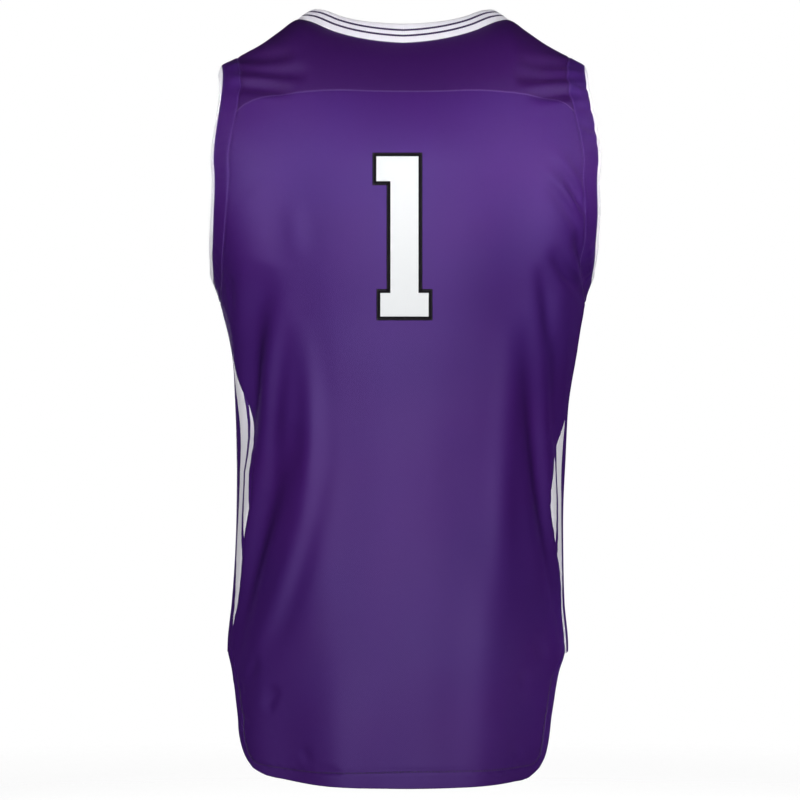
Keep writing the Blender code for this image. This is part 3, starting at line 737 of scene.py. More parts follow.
def armholePlaces(angle, ring, side):
    depth, height = armholeOval(angle, ring)
    face = np.where(np.sin(angle) >= -tiny, back, front)
    turn, rise = turnAndRise(formAcross(side, depth, height), height, face)
    return turn, rise, face


def evenAngles(first, last, count):
    angle = np.linspace(first, last, fine)
    depth, height = armholeOval(angle, "seam")
    points = np.stack([formAcross(left, depth, height), depth, height], axis=-1)
    return pick(angle, evenly(points, count))


def angleAt(measure, wanted, first, last):
    angle = np.linspace(first, last, fine)
    values = armholeOval(angle, "seam")[measure]
    order = np.argsort(values)
    return float(np.interp(wanted, values[order], angle[order]))


def seamDepth(height, side, face):  # from the side line to the seam
    column = "front" if face == front else "backLeft" if side == left else "backRight"
    return smooth(height / mm, sideSeams["height"], sideSeams[column]) * mm


def sideSeam(height, side, face):
    across = formAcross(side, face * seamDepth(height, side, face), height)
    return turnAndRise(across, height, face)[0]


def neckCurve(face, count):
    angle = np.linspace(0, math.pi, fine)
    power = 2 / neck["corner"][face]
    across = neck["halfWidth"] * np.sign(np.cos(angle)) * np.abs(np.cos(angle)) ** power
    depth = neck["depth"][face] * np.sin(angle) ** power
    turn = turnAndRise(across, 0 * across, face)[0]

    def outside(rise):
        return np.abs(formPoint(turn, rise, face)[..., 1]) > depth

    rise = halve(np.zeros(fine), np.full(fine, shoulder["slopeRun"]), outside)
    return evenLine(turn, rise, face, count)


def topLine(face):  # shoulder seam, neck seam, shoulder seam
    tips = [float(armholePlaces(np.array([0.0]), "seam", side)[0][0]) for side in (left, right)]
    middle = neckCurve(face, bodyPanels["neckColumns"][face])
    ridge = np.full(fine, shoulder["slopeRun"])
    spans = ((tips[0], middle[0][0]), (middle[0][-1], tips[1]))
    columns = bodyPanels["shoulderColumns"]
    start, end = (evenLine(np.linspace(*span, fine), ridge, face, columns) for span in spans)
    return tuple(np.concatenate([start[k][:-1], middle[k], end[k][1:]]) for k in (0, 1))


def acrossLine(first, last, share, leftHeights, rightHeights, face, count):
    across = np.linspace(first, last, 2 * fine)
    along = np.abs(across) / np.where(across >= 0, abs(first), abs(last))
    height = np.where(across >= 0, smooth(along, share, leftHeights), smooth(along, share, rightHeights))
    return evenLine(*turnAndRise(across, height, face), face, count)


def tailHeight(height, face):  # the front tail is shorter
    return height if face == back else tail["vent"] + (height - tail["vent"]) * tail["frontShare"]


def spread(edge, over):  # an edge's turn and rise at shares of its length
    return tuple(pick(line, over * (len(line) - 1)) for line in edge)


def fillEdges(top, foot, first, last, over):  # a grid between four edges; over is each column's share
    top, foot, first, last = (np.stack(edge, axis=-1) for edge in (top, foot, first, last))
    down = ((first[:, 1] - first[0, 1]) / (first[-1, 1] - first[0, 1]))[:, None, None]
    over = over[None, :, None]
    corners = blend(blend(top[0], top[-1], over), blend(foot[0], foot[-1], over), down)
    grid = blend(top[None], foot[None], down) + blend(first[:, None], last[:, None], over) - corners
    return grid[..., 0], grid[..., 1]


# distances from a seam or a hem at which the grids have a line, closer together near the stitches
seamSteps = np.array([0, 0.5, 1.1, 1.8, 2.8, 4.2, 6.4]) * mm
hemSteps = np.array([0, 0.3, 0.7, 1.3, 2.6, 5, 8, 10.5, 12.2, 13.2, 14.4, 15.5, 16.5, 17.6, 19, 21]) * mm


def gradedShares(length, pitch, head=seamSteps, foot=seamSteps):
    first, last = head[-1], length - foot[-1]
    middle = np.linspace(first, last, max(2, math.ceil((last - first) / pitch) + 1))
    places = np.concatenate([head[:-1], middle, length - np.array(foot[-2::-1])])
    return places / length


seamLook = {
    "pinch": 0.55 * mm,  # how far the cloth dips into a plain seam
    "pinchReach": 1.5 * mm,
    "wall": 0.9 * mm,
    "turnedWidth": 1.1 * mm,
    "turnedDrop": 0.85 * mm,
    "gap": 0.1 * mm,  # between two pieces of cloth
    "puckerHeight": 0.22 * mm,
}
yokeShare = 0.35  # the yoke's seam is lapped, so it dips less


def pinch(distance):
    return -seamLook["pinch"] * fade(distance, seamLook["pinchReach"])


def turnedEdge(distance):  # the round of a folded edge
    reach = np.clip(distance / seamLook["turnedWidth"], 0, 1)
    return -seamLook["turnedDrop"] * (1 - np.sqrt(1 - (1 - reach) ** 2))


def pullIn(points, ring=False):
    moved = points.copy()
    edges = [(np.s_[0], np.s_[1]), (np.s_[-1], np.s_[-2])]
    if not ring:
        edges += [(np.s_[:, 0], np.s_[:, 1]), (np.s_[:, -1], np.s_[:, -2])]
    for edge, inner in edges:
        moved[edge] += unit(points[inner] - points[edge]) * seamLook["gap"] / 2
    return moved


def pucker(points, distance, size, spacing=12 * mm, reach=9 * mm):  # uneven gathers across a stitched line
    x, y, z = np.moveaxis(points, -1, 0)
    slant = np.sin((x + 0.9 * z) * 2 * math.pi / spacing + 3 * np.sin(z * 31 + x * 23))
    other = np.sin((x - 1.1 * z) * 2 * math.pi / (1.37 * spacing) + 2.4 * np.sin(x * 41 + y * 17))
    height = seamLook["puckerHeight"] * (0.6 + 0.4 * np.sin(x * 29 + z * 37))
    return (slant + 0.8 * other) * height * size * fade(distance, reach)


def clothMap(points, fromSideLine=False):  # across and along the cloth in metres
    across = runs(points, 1)
    index = np.arange(points.shape[1])
    if fromSideLine:
        middle = [np.interp(0, depth[::-1], line[::-1]) for depth, line in zip(points[..., 1], across)]
    else:
        middle = [np.interp(index[-1] / 2, index, line) for line in across]
    return np.stack([across - np.array(middle)[:, None], runs(points, 0)], axis=-1)


def ringMap(points):
    closed = np.concatenate([points, points[:, :1]], axis=1)
    return np.stack([runs(closed, 1), runs(closed, 0)], axis=-1)


def layCloth(turn, rise, face):  # points on the form, the way out, how far to each edge, and the creases
    base = formPoint(turn, rise, face)
    across, down = runs(base, 1), runs(base, 0)
    to = {"left": across, "right": across[:, -1:] - across, "top": down, "foot": down[-1] - down}
    to["side"] = np.minimum(to["left"], to["right"])
    return base, outward(base), to, creaseDepth(base) + rippleDepth(base)


def clothPiece(name, base, normal, move, finish, wall=seamLook["wall"], ring=False, fromSideLine=False):
    outer = pullIn(base + normal * move[..., None], ring)
    inner = outer - normal * np.asarray(wall)[..., None]
    uv = ringMap(outer) if ring else clothMap(outer, fromSideLine)
    return shell(name, outer, inner, uv, finish, ring), outer


yokeEnd = angleAt(1, yokeSeam["height"][-1] * mm, 0, math.pi / 2)
underStart = angleAt(0, sideSeams["backLeft"][0] * mm, math.pi / 2, math.pi)
underEnd = angleAt(0, -sideSeams["front"][0] * mm, math.pi, 1.5 * math.pi)
stretches = armhole["stretches"]
angles = {
    "yoke": evenAngles(0, yokeEnd, stretches["yoke"]),
    back: evenAngles(yokeEnd, underStart, stretches[back]),
    "under": evenAngles(underStart, underEnd, stretches["under"]),
    front: evenAngles(underEnd, 2 * math.pi, stretches[front])[::-1],
}

purpleFinish = knitFinish("satin_knit_purple", satinKnit["colour"])
# the yoke's finish carries painted shade for its upward-facing slope in its darker colour
yokeShadedFinish = knitFinish("satin_knit_yoke_painted_shade", satinKnit["yokeShadedColour"], cool=False)
threadPurple = threadFinish("thread_purple", (0.115, 0.052, 0.235))
threadDark = threadFinish("thread_dark", (0.008, 0.0015, 0.020))
print("finishes made")

bodyPanels = {
    "pitch": 3.4 * mm,
    "columnUnit": 12.5 * mm,  # width of one count across, for grading
    "seamRows": 18,
    "shoulderColumns": 5,
    "neckColumns": {back: 24, front: 18},
    "hemWidth": 16.5 * mm,
    "ventHem": 13 * mm,
    "hemWall": 1.9 * mm,
    "hemDip": 0.8 * mm,  # how far the stitches pull the hem in
    "hemLift": 0.3 * mm,  # how far the doubled cloth stands out
    "hemRows": (0.975, 1.035),  # two rows of stitches, as shares of the hem's width
    "stitchPitch": 2.9 * mm,
    "thread": 0.55 * mm,
}
sheets = {
    "back_panel": {"flat": (0.490, 0.690), "area": 0.252, "restsOn": ["back_yoke"]},
    "front_panel": {"flat": (0.490, 0.720), "area": 0.264},
    "back_yoke": {"flat": (0.400, 0.115), "area": 0.032},
}


def bodyEdge(side, face, places):  # armhole seam, side seam and tail, from the top down
    turn, rise, _ = armholePlaces(pick(angles[face], places), "seam", side)
    corner = armholePlaces(angles[face][-1:], "seam", side)
    cornerHeight = float(formPoint(corner[0], corner[1], face)[0, 2])
    top = len(angles[face]) - 1
    vent = top + bodyPanels["seamRows"]
    height = cornerHeight + (tail["vent"] - cornerHeight) * (places - top) / bodyPanels["seamRows"]
    ventAcross = formAcross(side, face * seamDepth(tail["vent"], side, face), tail["vent"])
    edge = tail["edge"]
    rows = vent + np.arange(len(edge["height"]) + 1)
    heights = np.concatenate([[tail["vent"]], tailHeight(edge["height"] * mm, face)])
    widths = np.concatenate([[abs(float(ventAcross))], edge["left" if side == left else "right"] * mm])
    tailPlace = np.interp(places, rows, heights)
    tailTurn, tailRise = turnAndRise(side * smooth(tailPlace, heights, widths), tailPlace, face)
    above, seamed = places <= top, places <= vent
    turn = np.where(above, turn, np.where(seamed, sideSeam(height, side, face), tailTurn))
    rise = np.where(above, rise, np.where(seamed, height - shoulder["baseLevel"][face], tailRise))
    return turn, rise, side * widths[-1]


def bodyGrid(face, top):
    rowCount = len(angles[face]) - 1 + bodyPanels["seamRows"] + len(tail["edge"]["height"])
    dense = np.linspace(0, rowCount, 1200)
    turn, rise, _ = bodyEdge(left, face, dense)
    along = runs(formPoint(turn, rise, face))
    shares = gradedShares(along[-1], bodyPanels["pitch"], foot=hemSteps)
    rows = np.interp(shares * along[-1], along, dense)
    first, last = (bodyEdge(side, face, rows) for side in (left, right))
    columns = len(top[0]) - 1
    steps = [*hemSteps, 24 * mm]
    over = gradedShares(columns * bodyPanels["columnUnit"], bodyPanels["pitch"], steps, steps)
    hems = [tailHeight(tail["hem"][name] * mm, face) for name in ("left", "right")]
    foot = acrossLine(first[2], last[2], tail["hem"]["share"], *hems, face, columns)
    return fillEdges(spread(top, over), spread(foot, over), first[:2], last[:2], over)


def hemField(toFoot, toSide, height):  # 1 on the hem's stitched line, less inside the hem
    foot = toFoot / bodyPanels["hemWidth"]
    side = (toSide + 1.3 * np.maximum(0, height - tail["vent"])) / bodyPanels["ventHem"]
    return (np.maximum(foot, 0.01) ** -4 + np.maximum(side, 0.01) ** -4) ** -0.25


def hemPath(toFoot, sides, scale):  # fractional rows and columns of a stitched line round the tail
    foot, side = bodyPanels["hemWidth"] * scale, bodyPanels["ventHem"] * scale
    corner = 2**0.25
    up = np.linspace(6.2, corner, 90)
    over = np.linspace(corner, 11.5, 110)[1:]
    wantedFoot = np.concatenate([up, (1 - over**-4.0) ** -0.25]) * foot
    wantedSide = np.concatenate([(1 - up**-4.0) ** -0.25, over]) * side
    halves = []
    for toSide in sides:
        row = np.full(len(up) + len(over), len(toFoot) - 20.0)
        column = np.zeros(len(row))
        for _ in range(6):
            for i, (f, s) in enumerate(zip(wantedFoot, wantedSide)):
                line = onGrid(toSide, np.full(toSide.shape[1], row[i]), np.arange(toSide.shape[1]))
                way = 1 if line[0] < line[-1] else -1
                column[i] = np.interp(s, line[::way], np.arange(len(line))[::way])
                down = onGrid(toFoot, np.arange(len(toFoot)), np.full(len(toFoot), column[i]))
                row[i] = np.interp(f, down[::-1], np.arange(len(down))[::-1])
        halves.append((row, column))
    (leftRow, leftColumn), (rightRow, rightColumn) = halves
    return np.concatenate([leftRow, rightRow[::-1]]), np.concatenate([leftColumn, rightColumn[::-1]])


def bodyPanel(node, face, top):
    base, normal, to, move = layCloth(*bodyGrid(face, top), face)
    height = base[..., 2]
    hem = hemField(to["foot"], to["side"], height)
    vented = np.clip((tail["vent"] - height) / (6 * mm), 0, 1)  # free edges below the vents
    move += pinch(to["side"]) * (1 - vented) + turnedEdge(to["side"]) * vented + turnedEdge(to["foot"])
    move += pinch(to["top"]) * (yokeShare if face == back else 1)
    stitched = (hem - 1) * bodyPanels["hemWidth"]
    move += bodyPanels["hemLift"] / (1 + np.exp((hem - 1) * 40))
    move -= bodyPanels["hemDip"] * fade(stitched, 1.4 * mm)
    move += pucker(base, stitched, 1.4, 9 * mm, 6 * mm)
    move += pucker(base, to["side"], 0.8) * (1 - vented)
    wall = seamLook["wall"] + (bodyPanels["hemWall"] - seamLook["wall"]) / (1 + np.exp((hem - 1.06) * 90))
    piece, outer = clothPiece(node.replace("panel", "cloth"), base, normal, move, purpleFinish, wall)
    threads = Threads(node.replace("panel", "hem_threads"), bodyPanels["thread"])
    for scale in bodyPanels["hemRows"]:
        places = hemPath(to["foot"], (to["left"], to["right"]), scale)
        threads.straight(outer, normal, places, bodyPanels["stitchPitch"])
    return piece, threads.made(threadDark)


topLines = {face: topLine(face) for face in (back, front)}
yokeEdges = [armholePlaces(angles["yoke"], "seam", side) for side in (left, right)]
yokeEnds = [float(formPoint(turn[-1], rise[-1], back)[0]) for turn, rise, _ in yokeEdges]
seamHeight = yokeSeam["height"] * mm
backColumns = len(topLines[back][0]) - 1
yokeLine = acrossLine(*yokeEnds, yokeSeam["share"], seamHeight, seamHeight, back, backColumns)

backCloth, backThreads = bodyPanel("back_panel", back, yokeLine)
frontCloth, frontThreads = bodyPanel("front_panel", front, topLines[front])
print("body panels made")

yoke = {
    "pitch": 3.0 * mm,
    "unit": 12 * mm,
    "length": 96 * mm,
    "lockWidth": 2.3 * mm,
    "lockPitch": 0.75 * mm,
    "thread": 0.36 * mm,
    "neckStitches": 2.6 * mm,
    "neckStitchesIn": 1.9 * mm,  # from the neckband
}


def backYoke():
    over = gradedShares(backColumns * yoke["unit"], yoke["pitch"])
    rows = gradedShares(yoke["length"], yoke["pitch"]) * stretches["yoke"]
    first, last = (armholePlaces(pick(angles["yoke"], rows), "seam", side)[:2] for side in (left, right))
    grid = fillEdges(spread(topLines[back], over), spread(yokeLine, over), first, last, over)
    base, normal, to, move = layCloth(*grid, back)
    move += pinch(to["side"]) + pinch(to["top"]) + yokeShare * pinch(to["foot"])
    move += pucker(base, to["side"], 0.8)
    piece, outer = clothPiece("yoke_cloth", base, normal, move, yokeShadedFinish)
    seam = Threads("yoke_seam_threads", yoke["thread"])
    seam.zigzag(outer[-1], normal[-1], yoke["lockPitch"], yoke["lockWidth"])
    neckRow = Threads("yoke_neck_threads", yoke["thread"])
    places = crossing(to["top"], yoke["neckStitchesIn"])
    neckRow.straight(outer, normal, places, yoke["neckStitches"])
    return piece, seam.made(threadPurple), neckRow.made(threadPurple)


yokeCloth, yokeSeamThreads, yokeNeckThreads = backYoke()
print("yoke made")

sidePanels = {
    "pitch": 2.6 * mm,
    "unit": 10 * mm,
    "length": 355 * mm,
    "stripes": {"broad": (29 * mm, 40.5 * mm), "narrow": (44 * mm, 52 * mm)},  # out from the side line
    "flat": {left: (0.104, 0.358), right: (0.100, 0.358)},
    "area": {left: 0.0268, right: 0.0250},
}
stripedFinish = knitFinish("satin_knit_striped", satinKnit["colour"], sidePanels["stripes"])


def sidePanel(word, side):
    over = gradedShares(stretches["under"] * sidePanels["unit"], sidePanels["pitch"])
    shares = gradedShares(sidePanels["length"], sidePanels["pitch"])
    turn, rise, face = armholePlaces(pick(angles["under"], over * stretches["under"]), "seam", side)
    levels = shoulder["baseLevel"]
    top = (np.where(face == front, side * math.pi - turn, turn), rise + byFace(levels, face) - levels[back])
    edges = []
    for at, first in ((back, top[1][0]), (front, top[1][-1])):
        height = first + levels[back] + shares * (tail["vent"] - first - levels[back])
        seam = sideSeam(height, side, at)
        edges.append((seam if at == back else side * math.pi - seam, height - levels[back]))
    footTurn = blend(edges[0][0][-1], edges[1][0][-1], over)
    foot = (footTurn, np.full(footTurn.shape, tail["vent"] - levels[back]))
    turn, height = fillEdges(top, foot, *edges, over)
    rise = np.where(np.abs(turn) > math.pi / 2, height + levels[back] - levels[front], height)
    base, normal, to, move = layCloth(turn, rise, back)
    move += pinch(to["side"]) + pinch(to["top"]) + turnedEdge(to["foot"])
    move += pucker(base, np.minimum(to["side"], to["top"]), 0.7)
    name = f"side_cloth_{word}"
    piece, _ = clothPiece(name, base, normal, move, stripedFinish, fromSideLine=True)
    sheet = {size: sidePanels[size][side] for size in ("flat", "area")}
    sheet["restsOn"] = ["armhole_band_" + word]
    declare(piece, "side_panel_" + word, sheet)


for word, side in (("left", left), ("right", right)):
    sidePanel(word, side)
print("side panels made")

armholeTrim = {
    "columns": 420,
    "toCentre": 12 * mm,
    "outward": 3.5 * mm,
    "colour": (0.80, 0.79, 0.84),
    "gathers": ((0.16, 37, 0.4), (0.13, 53, 2.1), (0.10, 71, 4.0), (0.12, 24, 1.0)),  # mm, count, start
    "bandWidth": (19 * mm, 1.6 * mm),  # and the pitch of its rows
    "ribWidth": (12.5 * mm, 1.4 * mm),
    "thread": 0.42 * mm,
    "stitchesIn": 1.0 * mm,  # from the seam
    "bandFlat": (0.590, 0.020),
    "ribFlat": (0.560, 0.0142),
    "stitchPitch": 2.7 * mm,
}
armholeRibFinish = ribFinish("armhole_rib_white", armholeTrim["colour"])


def ribPiece(name, rows, seamNormal, way, finish):
    # a ring of rib: its rows start at a seam, and its last rows round over
    base = np.stack(rows)
    count = base.shape[1]
    around = np.roll(base, -1, axis=1) - np.roll(base, 1, axis=1)
    normal = way * unit(np.cross(around, np.gradient(base, axis=0)))
    fromSeam = np.clip(np.arange(len(base)) / 3, 0, 1)[:, None, None]
    normal = unit(blend(seamNormal, normal, fromSeam))
    share = runs(base, 0) / runs(base, 0)[-1]
    ribs = round(runs(np.concatenate([base[2], base[2][:1]]))[-1] / rib["pitch"])
    wave = np.cos(2 * math.pi * np.arange(count) * ribs / count)[None]
    swell = rib["height"] * wave * np.clip(share * 12, 0, 1) * np.clip((1 - share) * 9, 0.25, 1)
    close = np.clip((share - 0.90) / 0.10, 0, 1)
    rounding = rib["wall"] / 2 * (1 - np.sqrt(1 - (close * 0.96) ** 2))
    outer = pullIn(base + normal * (swell - rounding)[..., None], ring=True)
    inner = base - normal * (rib["wall"] + swell - rounding)[..., None]
    return shell(name, outer, inner, ringMap(outer), finish, ring=True)


def armholeBand(word, side):
    angle = evenAngles(0, 2 * math.pi, armholeTrim["columns"])[:-1]
    edge, seam = (armholePlaces(angle, ring, side) for ring in ("edge", "seam"))
    shares = gradedShares(*armholeTrim["bandWidth"], seamSteps[:5], seamSteps[:5])[:, None]
    turn, rise = (blend(edge[k], seam[k], shares) for k in (0, 1))
    base, normal, to, move = layCloth(turn, rise, np.broadcast_to(edge[2], turn.shape))
    around = runs(base[0]) / runs(base[0])[-1] * 2 * math.pi
    gathers = sum(size * np.sin(around * turns + start) for size, turns, start in armholeTrim["gathers"])
    gathers = gathers * mm * (0.55 + 0.45 * np.sin(around * 5 + 1.3))
    move += gathers * np.sin(math.pi * np.clip(to["top"] / to["top"][-1], 0, 1)) ** 0.7
    move += pinch(to["top"]) * 0.7 + pinch(to["foot"]) + 0.25 * mm * fade(to["foot"] - 2.6 * mm, 2.2 * mm)
    name = f"armhole_band_cloth_{word}"
    piece, outer = clothPiece(name, base, normal, move, purpleFinish, ring=True)
    threads = Threads(f"armhole_threads_{word}", armholeTrim["thread"])
    places = crossing(to["foot"], armholeTrim["stitchesIn"])
    threads.straight(outer, normal, places, armholeTrim["stitchPitch"], share=0.9)
    sheet = {"flat": armholeTrim["bandFlat"], "restsOn": ["back_yoke", "front_panel"]}
    declare(piece, "armhole_band_" + word, sheet, [threads.made(threadPurple)])


def armholeRib(word, side):
    columns = 6 * round(armholeTrim["ribFlat"][0] / rib["pitch"])
    edge, normal = clothPoint(*armholePlaces(evenAngles(0, 2 * math.pi, columns)[:-1], "edge", side))
    edge = edge - normal * rib["under"]
    inward = -unit(np.stack([np.zeros(len(edge)), edge[:, 1], edge[:, 2] - armhole["centre"]], axis=-1))
    rows = []
    for share in gradedShares(*armholeTrim["ribWidth"], seamSteps[:4], seamSteps[:4]):
        lift = armholeTrim["outward"] * math.sin(share * math.pi / 2)
        rows.append(edge + inward * armholeTrim["toCentre"] * share + np.array([side * lift, 0, 0]))
    piece = ribPiece(f"armhole_rib_cloth_{word}", rows, normal, -side, armholeRibFinish)
    sheet = {"flat": armholeTrim["ribFlat"], "restsOn": ["armhole_band_" + word]}
    declare(piece, "armhole_rib_" + word, sheet)


for word, side in (("left", left), ("right", right)):
    armholeBand(word, side)
    armholeRib(word, side)
print("armholes made")

neckband = {
    "inward": {"side": 15.5 * mm, back: 7 * mm, front: 11 * mm},
    "rise": {"side": 10.5 * mm, back: 19.5 * mm, front: 17 * mm},
    "bulge": 0.4 * mm,
    "width": (20 * mm, 1.5 * mm),  # and the pitch of its rows
    "colour": (0.80, 0.78, 0.84),
    "lines": ((6.0 * mm, 8.1 * mm), (12.1 * mm, 14.2 * mm)),  # up from the seam
    "flat": (0.560, 0.0215),
}


def neckRing(face):
    turn, rise = neckCurve(face, fine)
    points, normal = clothPoint(turn, rise, face)
    return (points, normal) if face == back else (points[::-1], normal[::-1])


def neckBand():
    parts = [neckRing(face) for face in (back, front)]
    seam, normal = (np.concatenate([parts[0][k][:-1], parts[1][k]]) for k in (0, 1))
    places = evenly(seam, 6 * round(runs(seam)[-1] / rib["pitch"]))[:-1]
    seam, normal = pickRows(seam, places), pickRows(normal, places)
    seam = seam - normal * rib["under"]
    depth = seam[:, 1]
    middle = (depth / byFace(neck["depth"], depth)) ** 2
    ways = (neckband["inward"], neckband["rise"])
    goIn, goUp = (blend(sizes["side"], byFace(sizes, depth), middle) for sizes in ways)
    toAxis = unit(-seam * (1, 1, 0))
    rows = []
    for share in gradedShares(*neckband["width"], seamSteps[:4], seamSteps[:5]):
        bulge = neckband["bulge"] * math.sin(share * math.pi)
        inward, upward = goIn * share - bulge, goUp * share + bulge
        rows.append(seam + toAxis * inward[:, None] + np.array([0, 0, 1]) * upward[:, None])
    finish = ribFinish("neck_rib_white", neckband["colour"], neckband["lines"])
    piece = ribPiece("neck_rib_cloth", rows, normal, 1, finish)
    declare(piece, "neckband", {"flat": neckband["flat"], "restsOn": ["back_yoke"]})


neckBand()
print("neckband made")

number = {
    "centre": -1.3 * mm,
    "top": -144.7 * mm,
    "height": 153.7 * mm,
    "stem": 26.9 * mm,
    "foot": 46.4 * mm,
    "flagHeight": 23.9 * mm,
    "footHeight": 22.6 * mm,
    "border": 3.8 * mm,
    "layer": 0.55 * mm,
    "clear": 0.3 * mm,
    "edge": 0.5 * mm,  # how wide its rounded edge is, and how far that drops
    "edgeDrop": 0.22 * mm,
    "stitchesIn": 0.15 * mm,
    "cell": 2.2 * mm,
    "thread": 0.3 * mm,
    "zigzag": 1.9 * mm,
    "zigzagPitch": 1.0 * mm,
    "sheets": {
        "number_border": {"flat": (0.062, 0.162), "area": 0.00685, "restsOn": ["back_panel"]},
        "number_face": {"flat": (0.054, 0.154), "area": 0.00516, "restsOn": ["number_border"]},
    },
}


def digitBoxes(border):
    stem, foot = number["stem"] / 2 + border, number["foot"] / 2 + border
    top, low = number["top"] + border, number["top"] - number["height"] - border
    flagFoot = number["top"] - number["flagHeight"] - border
    footTop = low + number["footHeight"] + 2 * border
    flag = foot + number["border"]
    middle = number["centre"]
    boxes = ((stem, -stem, top, low), (flag, -stem, top, flagFoot), (foot, -foot, footTop, low))
    outline = [(-stem, top), (flag, top), (flag, flagFoot), (stem, flagFoot), (stem, footTop)]
    outline += [(foot, footTop), (foot, low), (-foot, low), (-foot, footTop), (-stem, footTop), (-stem, top)]
    boxes = [(middle + a, middle + b, high, under) for a, b, high, under in boxes]
    return boxes, np.array([(middle + x, z) for x, z in outline])


def onBack(x, z):  # the back panel's surface at a place seen from behind
    turn, rise = turnAndRise(x, z, back)
    return clothPoint(turn, rise, back)


def gridLines(edges):
    lines = [edges[:1]]
    for first, last in zip(edges[:-1], edges[1:]):
        inset = number["edge"]
        count = max(2, round((last - first) / number["cell"]))
        inner = np.linspace(first + inset, last - inset, count) if last - first > 3 * inset else []
        lines += [inner, [last]]
    return np.concatenate(lines)


def digitLayer(node, border, lift, finish, thread):
    boxes, outline = digitBoxes(border)
    spans = ([box[:2] for box in boxes], [box[2:] for box in boxes])
    across, heights = (gridLines(np.unique(np.array(span).round(7)))[::-1] for span in spans)
    middleX, middleZ = (across[1:] + across[:-1]) / 2, (heights[1:] + heights[:-1]) / 2

    def depthIn(x, z):
        inside = [np.minimum(np.minimum(a - x, x - b), np.minimum(t - z, z - f)) for a, b, t, f in boxes]
        return np.max(inside, axis=0)

    cells = depthIn(middleX[None, :], middleZ[:, None]) > 0
    x, z = np.meshgrid(across, heights)
    base, normal = onBack(x, z)
    edge = np.clip(depthIn(x, z) / number["edge"], 0, 1)
    raised = lift + number["layer"] - number["edgeDrop"] * (1 - edge)
    outer = base + normal * raised[..., None]
    uv = np.stack([x, z], -1)
    piece = shell(node + "_cloth", outer, base + normal * lift, uv, finish, cells=cells)
    threads = Threads(node + "_threads", number["thread"])
    for start, end in zip(outline[:-1], outline[1:]):
        length = np.linalg.norm(end - start)
        way = (end - start) / length
        inset = np.array([way[1], -way[0]]) * (number["zigzag"] / 2 + number["stitchesIn"])
        if depthIn(*((start + end) / 2 + inset)) < 0:
            inset = -inset
        t = np.linspace(0, 1, max(8, int(length / (1.5 * mm))))[:, None]
        line = start + inset + (end - start) * t
        path, up = onBack(line[:, 0], line[:, 1])
        path = path + up * (lift + number["layer"])
        threads.zigzag(path, up, number["zigzagPitch"], number["zigzag"])
    declare(piece, node, number["sheets"][node], [threads.made(thread)])


whiteTwill = twillFinish("twill_white", (0.75, 0.764, 0.774), 0.55)
blackTwill = twillFinish("twill_black", (0.003, 0.002, 0.004), 0.75)
whiteThread = threadFinish("thread_white", (0.77, 0.78, 0.80))
blackThread = threadFinish("thread_black", (0.014, 0.010, 0.018))
digitLayer("number_border", number["border"], number["clear"], blackTwill, blackThread)
topLift = 2 * number["clear"] + number["layer"]
digitLayer("number_face", 0, topLift, whiteTwill, whiteThread)
print("number made")

declare(backCloth, "back_panel", sheets["back_panel"], [backThreads])
declare(frontCloth, "front_panel", sheets["front_panel"], [frontThreads])
yokeThreads = [yokeSeamThreads, yokeNeckThreads]
declare(yokeCloth, "back_yoke", sheets["back_yoke"], yokeThreads)

studio = {
    "cameraFrom": (0.003, 3.2, -0.379),
    "lens": 144,
    "floor": -1.15,
    "floorRings": (0.02, 0.4, 1.0, 2.0, 5.0),
    "fadeFrom": 1.6,  # from here on the floor grows clear
    "fadeRun": 2.6,
    "floorColour": (0.90, 0.90, 0.90),
    "floorGlow": 0.75,
    "roomLight": 0.02,
    "lights": (  # name, place, aim, size, spread in degrees, power
        ("key", (0.1, 3.2, -0.15), (0, 0, -0.12), 1.0, 52, 9.6),
        ("left", (2.3, 2.0, 0.75), (0.16, 0.1, -0.10), 0.15, 6, 0.055),
        ("right", (-2.3, 2.0, 0.75), (-0.17, 0.1, -0.11), 0.15, 6, 0.09),
        ("lowLeft", (2.3, 2.0, -0.9), (0.15, 0.05, -0.72), 0.15, 6, 0.013),
        ("lowRight", (-2.3, 2.0, -0.9), (-0.15, 0.05, -0.68), 0.15, 6, 0.026),
        ("edgeLeft", (1.95, -2.0, -0.3), (0, 0, -0.38), 1.0, 180, 62),
        ("edgeRight", (-2.1, -1.85, -0.3), (0, 0, -0.38), 1.0, 180, 78),
        ("front", (0.5, -2.8, -0.2), (0, 0, -0.38), 1.0, 180, 14),
    ),
}


def makeCamera():
    data = bpy.data.cameras.new("camera")
    data.lens = studio["lens"]
    camera = addObject("camera", data)
    camera.location = studio["cameraFrom"]
    camera.rotation_euler = (math.pi / 2, 0, math.pi)
    bpy.context.scene.camera = camera


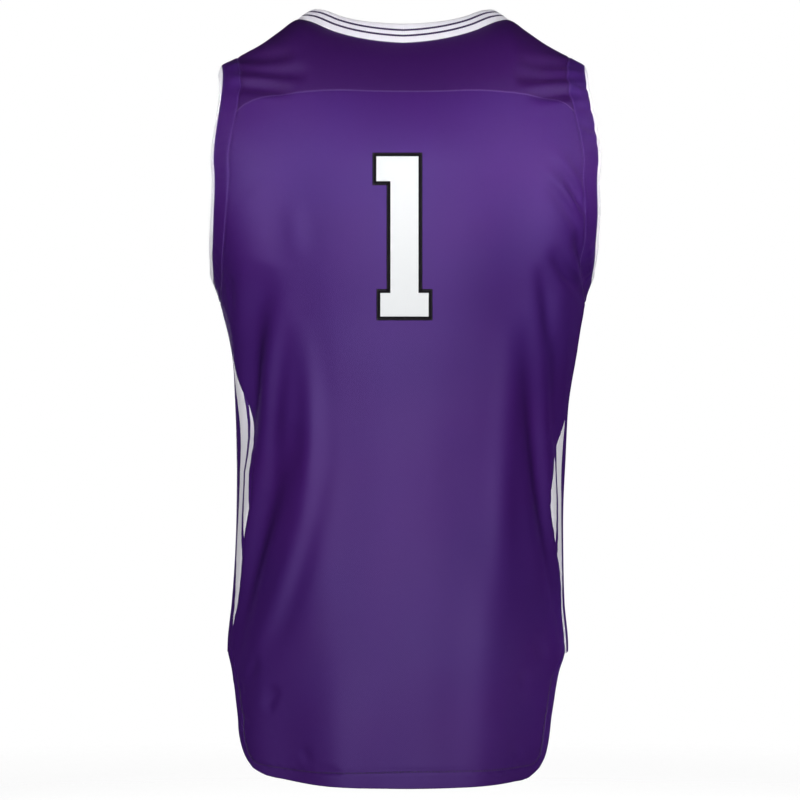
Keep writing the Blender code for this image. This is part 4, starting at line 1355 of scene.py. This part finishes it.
def makeFloor():
    count = 96
    angle = np.arange(count) * 2 * math.pi / count
    points = [np.stack([r * np.cos(angle), r * np.sin(angle), 0 * angle], -1) for r in studio["floorRings"]]
    one = np.arange(count)
    two = (one + 1) % count
    ring = np.stack([one, one + count, two + count, two], -1)
    faces = [ring + k * count for k in range(len(points) - 1)]
    plain = {"Roughness": 0.9, "Specular IOR Level": 0.1, "Emission Color": (1, 1, 1, 1)}
    plain["Emission Strength"] = studio["floorGlow"]
    finish = Finish("floor_pale", plain)
    shown = finish.shade(studio["floorColour"], 1 + finish.noise(3.0) * 0.02)
    finish.join(shown, finish.shader.inputs["Base Color"])
    far = finish.node("ShaderNodeVectorMath", {"operation": "LENGTH"}, [finish.place()], "Value")
    fading = ((far - studio["fadeFrom"]) / studio["fadeRun"]).math("MAXIMUM", 0.0).math("MINIMUM", 1.0)
    clear = finish.node("ShaderNodeBsdfTransparent", {}, {})
    both = finish.node("ShaderNodeMixShader", {}, [fading, Wire(finish, finish.shader.outputs[0]), clear])
    finish.join(both, finish.tree.nodes["Material Output"].inputs["Surface"])
    points = np.concatenate(points) + (0, 0, studio["floor"])
    floor = meshObject("floor", points, np.concatenate(faces), finish.material)
    floor.visible_diffuse = floor.visible_glossy = False


def makeLights():
    for name, place, aim, size, spread, power in studio["lights"]:
        data = bpy.data.lights.new(name, "AREA")
        data.shape, data.size, data.energy = "DISK", size, power
        data.spread = math.radians(spread)
        lamp = addObject(name, data)
        lamp.location = place
        lamp.visible_camera = False
        lamp.visible_glossy = not name.startswith("edge")
        way = Vector(aim) - Vector(place)
        lamp.rotation_euler = way.to_track_quat("-Z", "Y").to_euler()


def makeWorld():
    # a white room that gives off little light of its own
    world = bpy.data.worlds.new("studio")
    world.use_nodes = True
    bpy.context.scene.world = world
    nodes, links = world.node_tree.nodes, world.node_tree.links
    seen = nodes.new("ShaderNodeLightPath")
    level = nodes.new("ShaderNodeMapRange")
    level.inputs["To Min"].default_value = studio["roomLight"]
    level.inputs["To Max"].default_value = 1.0
    links.new(seen.outputs["Is Camera Ray"], level.inputs["Value"])
    links.new(level.outputs["Result"], nodes["Background"].inputs["Strength"])
    nodes["Background"].inputs["Color"].default_value = (1, 1, 1, 1)


makeCamera()
makeFloor()
makeLights()
makeWorld()
bpy.context.scene.view_settings.view_transform = "Standard"
print("studio made")
